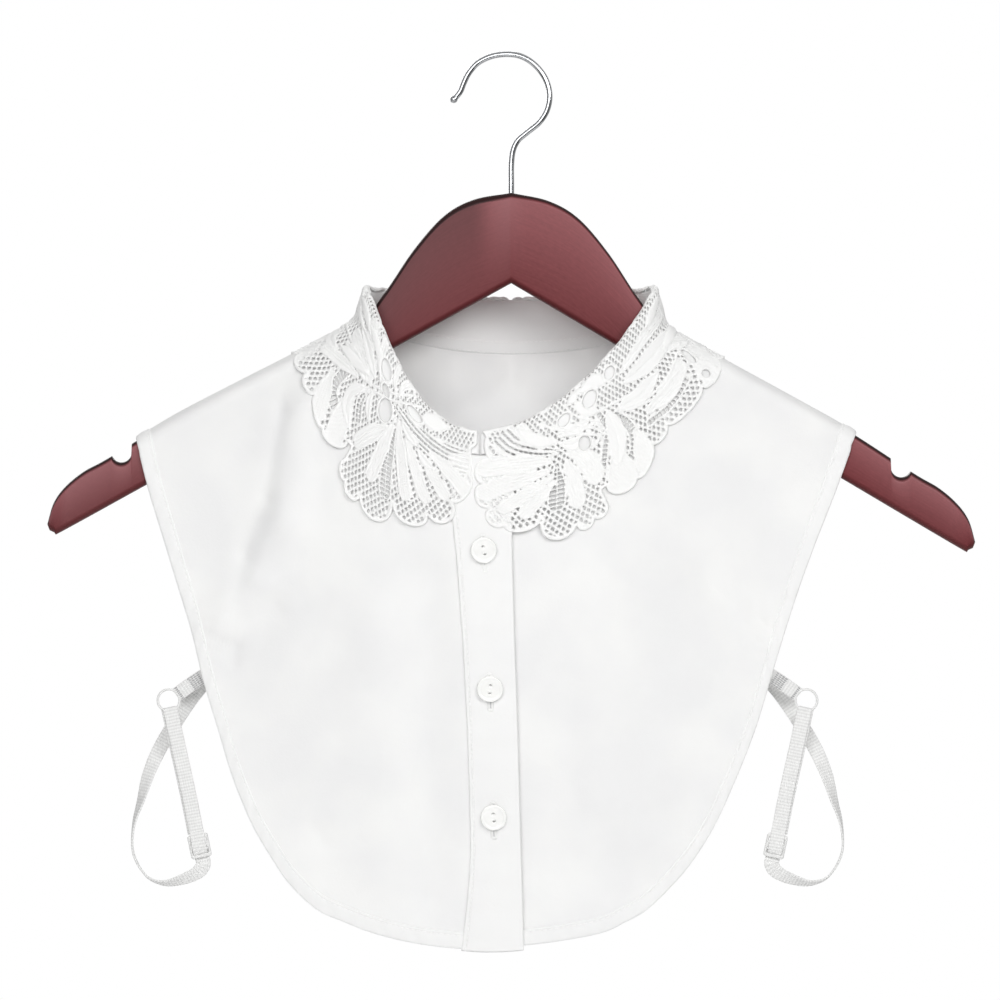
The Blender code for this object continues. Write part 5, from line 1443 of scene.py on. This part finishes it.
# Knitted elastic: rubber cores in white polyester, whose ribs run along it and whose courses,
# 0.8 mm apart, cross it. The eye sees a matt, corded tape. The courses are drawn at 1.5 mm.
COURSE_DRAWN = 0.0015
elastic, tree, shader = new_finish("ribbed elastic", Roughness=0.75, Sheen_Weight=0.15)
place = add(tree, "UVMap", uv_map="flat")
courses = add(tree, "TexWave", {
    "Vector": place.outputs["UV"], "Scale": math.pi / 10 / COURSE_DRAWN, "Distortion": 0.6,
}, bands_direction="Y")
knit = add(tree, "TexNoise", {"Vector": place.outputs["UV"], "Scale": 1 / 0.004})
both = add(tree, "Math", {0: courses.outputs["Fac"], 1: knit.outputs["Fac"]}, operation="ADD")
spread = add(tree, "MapRange", {"Value": both.outputs["Value"], "From Min": 0.4, "From Max": 1.6})
tree.links.new(two_tones(tree, spread.outputs["Result"], "#D8D8D7", "#EAEAE9"), shader.inputs["Base Color"])
bump(tree, shader, courses.outputs["Fac"], 0.00006, 0.4)

# Moulded acetal: a dense white plastic with a faint shine.
plastic, tree, shader = new_finish("moulded acetal", Roughness=0.35)
place = add(tree, "TexCoord")
skin = add(tree, "TexNoise", {"Vector": place.outputs["Object"], "Scale": 1 / 0.0015})
tree.links.new(two_tones(tree, skin.outputs["Fac"], "#DCDCDB", "#E6E6E5"), shader.inputs["Base Color"])
bump(tree, shader, skin.outputs["Fac"], 0.00002, 0.4)


def mirrored(side, points):
    """The left side's points, turned over for the right side."""
    points = np.array(points, float)
    if side == RIGHT:
        points[..., 0] = 2 * STRAP_MIDDLE - points[..., 0]
    return points


def elastic_rings(side, route, spacing):
    """A flat elastic along a route: six ribs across it, as 0.06 cos of the place across, and
    round edges; the width turns towards Y by the route's angle."""
    knots = np.asarray(route, float)
    length = np.linalg.norm(np.diff(knots[:, :3], axis=0), axis=1).sum()
    path = smooth_path(knots, int(length / spacing))
    places, facing = path[:, :3], np.radians(path[:, 3])[:, None]
    ahead = unit(np.gradient(places, axis=0))
    width = unit(np.cross(ahead, (0, 1, 0))) * np.cos(facing) + np.array([[0, 1.0, 0]]) * np.sin(facing)
    width = unit(width - ahead * (width * ahead).sum(axis=1, keepdims=True))
    up = np.cross(ahead, width)
    u = np.linspace(-0.5, 0.5, 31)
    near = np.clip((0.5 - np.abs(u)) * ELASTIC_WIDTH / 0.5, 0, 1)
    high = (0.46 + 0.06 * np.cos(2 * np.pi * u * 6)) * np.sqrt(1 - (1 - near) ** 2)
    across = np.concatenate([u, u[-2:0:-1]]) * ELASTIC_WIDTH
    height = np.concatenate([high, -high[-2:0:-1]])
    rings = places[:, None] + width[:, None] * across[None, :, None] + up[:, None] * height[None, :, None]
    run = run_of(places)
    flat = np.stack(np.broadcast_arrays(across[None, :], run[:, None]), axis=-1) * MM
    ends = [np.broadcast_to(places[k], rings[0].shape)[None] for k in (0, -1)]
    flat = np.concatenate([flat[:1], flat, flat[-1:]])
    return mirrored(side, np.concatenate([ends[0], rings, ends[1]])), flat


def bar_tack(side, route, shares):
    """Rows of short stitches across an elastic, at these shares of its route, on its front."""
    knots = np.asarray(route, float)
    path = smooth_path(knots[:, :3], 101)
    ahead = unit(np.gradient(path, axis=0))
    rows = []
    for share in shares:
        at = int(share * 100)
        width = unit(np.cross(ahead[at], (0, 1, 0)))
        places = path[at] + width * np.linspace(-2.9, 2.9, 7)[:, None] + np.array([0, -0.62, 0])
        along = np.broadcast_to(ahead[at], places.shape)
        rows.append(stitch_beads(places, along, np.broadcast_to((0.0, -1.0, 0.0), places.shape), 1.5, 0.26))
    points, faces = joined(rows)
    return mirrored(side, points), faces


# The thread of the bar tacks, drawn greyer for the shadows between its close stitches.
tack, tree, shader = new_finish("bar tack thread", Roughness=0.7)
place = add(tree, "TexCoord")
ply = add(tree, "TexNoise", {"Vector": place.outputs["Object"], "Scale": 1 / 0.0004, "Detail": 1.0})
tree.links.new(two_tones(tree, ply.outputs["Fac"], "#9C9C9E", "#C8C8C9"), shader.inputs["Base Color"])

for side, name in ((LEFT, "right"), (RIGHT, "left")):
    tacked = piece(f"bar_tacks_{name}", *joined([
        bar_tack(side, TAB_ROUTE, (0.38, 0.45, 0.52, 0.59, 0.92)), bar_tack(side, STRAP_ROUTE, (0.03,)),
    ]), tack, weld=True)
    rings, flat = elastic_rings(side, TURN_ROUTE, 0.8)
    turned = piece(
        f"elastic_turn_{name}", *ringed(rings), elastic,
        flat=flat, weld=True,
    )
    routes = ("strap_tab", TAB_ROUTE, 1), ("strap", STRAP_ROUTE, 2), ("strap_loop", LOOP_ROUTE, 1)
    for part, route, layers in routes:
        rings, flat = elastic_rings(side, route, 0.7)
        one = grid_quads(*rings.shape[:2], wrap=True)
        aside, apart = LAYER_APART
        moves = ((0, -apart, 0), (side * aside, apart, 0)) if layers == 2 else ((0, 0, 0),)
        points, faces = joined([((rings + move).reshape(-1, 3), one) for move in moves])
        tape = piece(
            f"elastic_{part}_{name}", points, faces, elastic,
            flat=np.concatenate([flat.reshape(-1, 2)] * layers), weld=True,
        )
        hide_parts(f"{part}_{name}")
    turn = np.linspace(0, 2 * np.pi, 64, endpoint=False)
    circle = np.stack([np.cos(turn), 0 * turn, np.sin(turn)], axis=-1) * RING_RADIUS + np.array(RING_PLACE)
    rings = mirrored(side, tube(circle, RING_WIRE, 14, closed=True))
    ring = piece(f"wire_ring_{name}", *ringed(rings), plastic, weld=True)
    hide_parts(f"ring_{name}")
    wide, tall = SLIDER_SIZE
    slot_wide, slot_tall = SLIDER_SLOT
    x, z = np.meshgrid(np.arange(-5.6, 5.61, 0.25), np.arange(-6.4, 6.41, 0.25), indexing="ij")
    box = np.hypot(np.maximum(np.abs(x) - wide / 2 + 1.2, 0), np.maximum(np.abs(z) - tall / 2 + 1.2, 0))
    body = 1.2 - box
    slot_z = (slot_tall + SLIDER_BAR) / 2
    from_slot = np.abs(np.abs(z) - slot_z) - slot_tall / 2
    slots = np.hypot(np.maximum(np.abs(x) - slot_wide / 2 + 0.6, 0), np.maximum(from_slot + 0.6, 0)) - 0.6
    field = np.minimum(body, slots)
    round_off = np.sqrt(1 - (1 - np.clip(field / 0.6, 0, 1)) ** 2) * 0.95
    values, tris, on_cut = cut_plate(field, np.stack([x, z, round_off], axis=-1))
    lean = math.radians(SLIDER_TURN)
    way, up = np.array([math.cos(lean), 0, math.sin(lean)]), np.array([-math.sin(lean), 0, math.cos(lean)])
    places = np.array(SLIDER_PLACE) + way * values[:, :1] + up * values[:, 1:2]
    points, faces = two_sided(
        places, np.broadcast_to((0.0, -1.0, 0.0), places.shape), tris, on_cut, values[:, 2], -values[:, 2],
    )
    slider = piece(f"strap_slider_{name}", mirrored(side, points), faces, plastic, weld=True)
    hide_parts(f"slider_{name}")


# The floor, the light and the camera.
# Not part of the object: a pale floor well below it, a white surround that is brighter above
# and behind, three soft lights, and a camera in front of the object at its own height.

floor_stuff, tree, shader = new_finish("pale floor", Roughness=0.9)
place = add(tree, "TexCoord")
speck = add(tree, "TexNoise", {"Vector": place.outputs["Object"], "Scale": 30.0})
tree.links.new(two_tones(tree, speck.outputs["Fac"], "#F2F2F2", "#F5F5F5"), shader.inputs["Base Color"])
turn = np.linspace(0, 2 * np.pi, 96, endpoint=False)
mesh = bpy.data.meshes.new("floor")
disc = np.stack([900 * np.cos(turn), 900 * np.sin(turn), np.full(96, -640.0)], axis=-1) * MM
mesh.from_pydata(disc.tolist(), [], [list(range(96))])
mesh.materials.append(floor_stuff)
floor = bpy.data.objects.new("floor", mesh)
bpy.context.scene.collection.objects.link(floor)

world = bpy.data.worlds.new("white surround")
world.use_nodes = True
tree = world.node_tree
seen, lit = tree.nodes["Background"], add(tree, "Background")
seen.inputs["Color"].default_value = (1, 1, 1, 1)
direction = add(tree, "TexCoord")
apart = add(tree, "SeparateXYZ", {"Vector": direction.outputs["Generated"]})
raised = add(tree, "Math", {0: apart.outputs["Z"], 1: 0.7, 2: apart.outputs["Y"]}, operation="MULTIPLY_ADD")
brightness = add(tree, "MapRange", {
    "Value": raised.outputs["Value"], "From Min": -1.2, "From Max": 1.2, "To Min": 0.08, "To Max": 0.86,
})
tree.links.new(brightness.outputs["Result"], lit.inputs["Strength"])
ray = add(tree, "LightPath")
either = add(tree, "MixShader", {0: ray.outputs["Is Camera Ray"]})
tree.links.new(lit.outputs["Background"], either.inputs[1])
tree.links.new(seen.outputs["Background"], either.inputs[2])
tree.links.new(either.outputs["Shader"], tree.nodes["World Output"].inputs["Surface"])
bpy.context.scene.world = world
bpy.context.scene.view_settings.view_transform = "Standard"


def soft_light(name, place, target, size, power):
    """A square area light at a place, turned to a target."""
    data = bpy.data.lights.new(name, "AREA")
    data.size, data.energy = size, power
    made = bpy.data.objects.new(name, data)
    made.visible_camera = False
    made.location = place
    direction = np.asarray(target, float) - np.asarray(place, float)
    tilt = math.atan2(math.hypot(direction[0], direction[1]), -direction[2])
    made.rotation_euler = (tilt, 0, math.atan2(-direction[0], direction[1]))
    bpy.context.scene.collection.objects.link(made)


soft_light("key", (0.52, -1.1, 0.3), (0, 0, -0.2), 0.5, 6.7)
soft_light("behind", (-0.5, 2.0, 0.5), (0, 0, -0.25), 1.2, 17.0)
soft_light("fill", (-0.3, -1.2, 0.12), (0, 0, -0.2), 0.75, 7.6)

camera_data = bpy.data.cameras.new("camera")
camera_data.sensor_width = 36.0
VIEW_WIDE, AWAY = 0.48, 3.0
camera_data.lens = camera_data.sensor_width * AWAY / VIEW_WIDE
camera = bpy.data.objects.new("camera", camera_data)
camera.location = (-0.0034, -AWAY, -0.2126)
camera.rotation_euler = (math.radians(90), 0, 0)
bpy.context.scene.collection.objects.link(camera)
bpy.context.scene.camera = camera
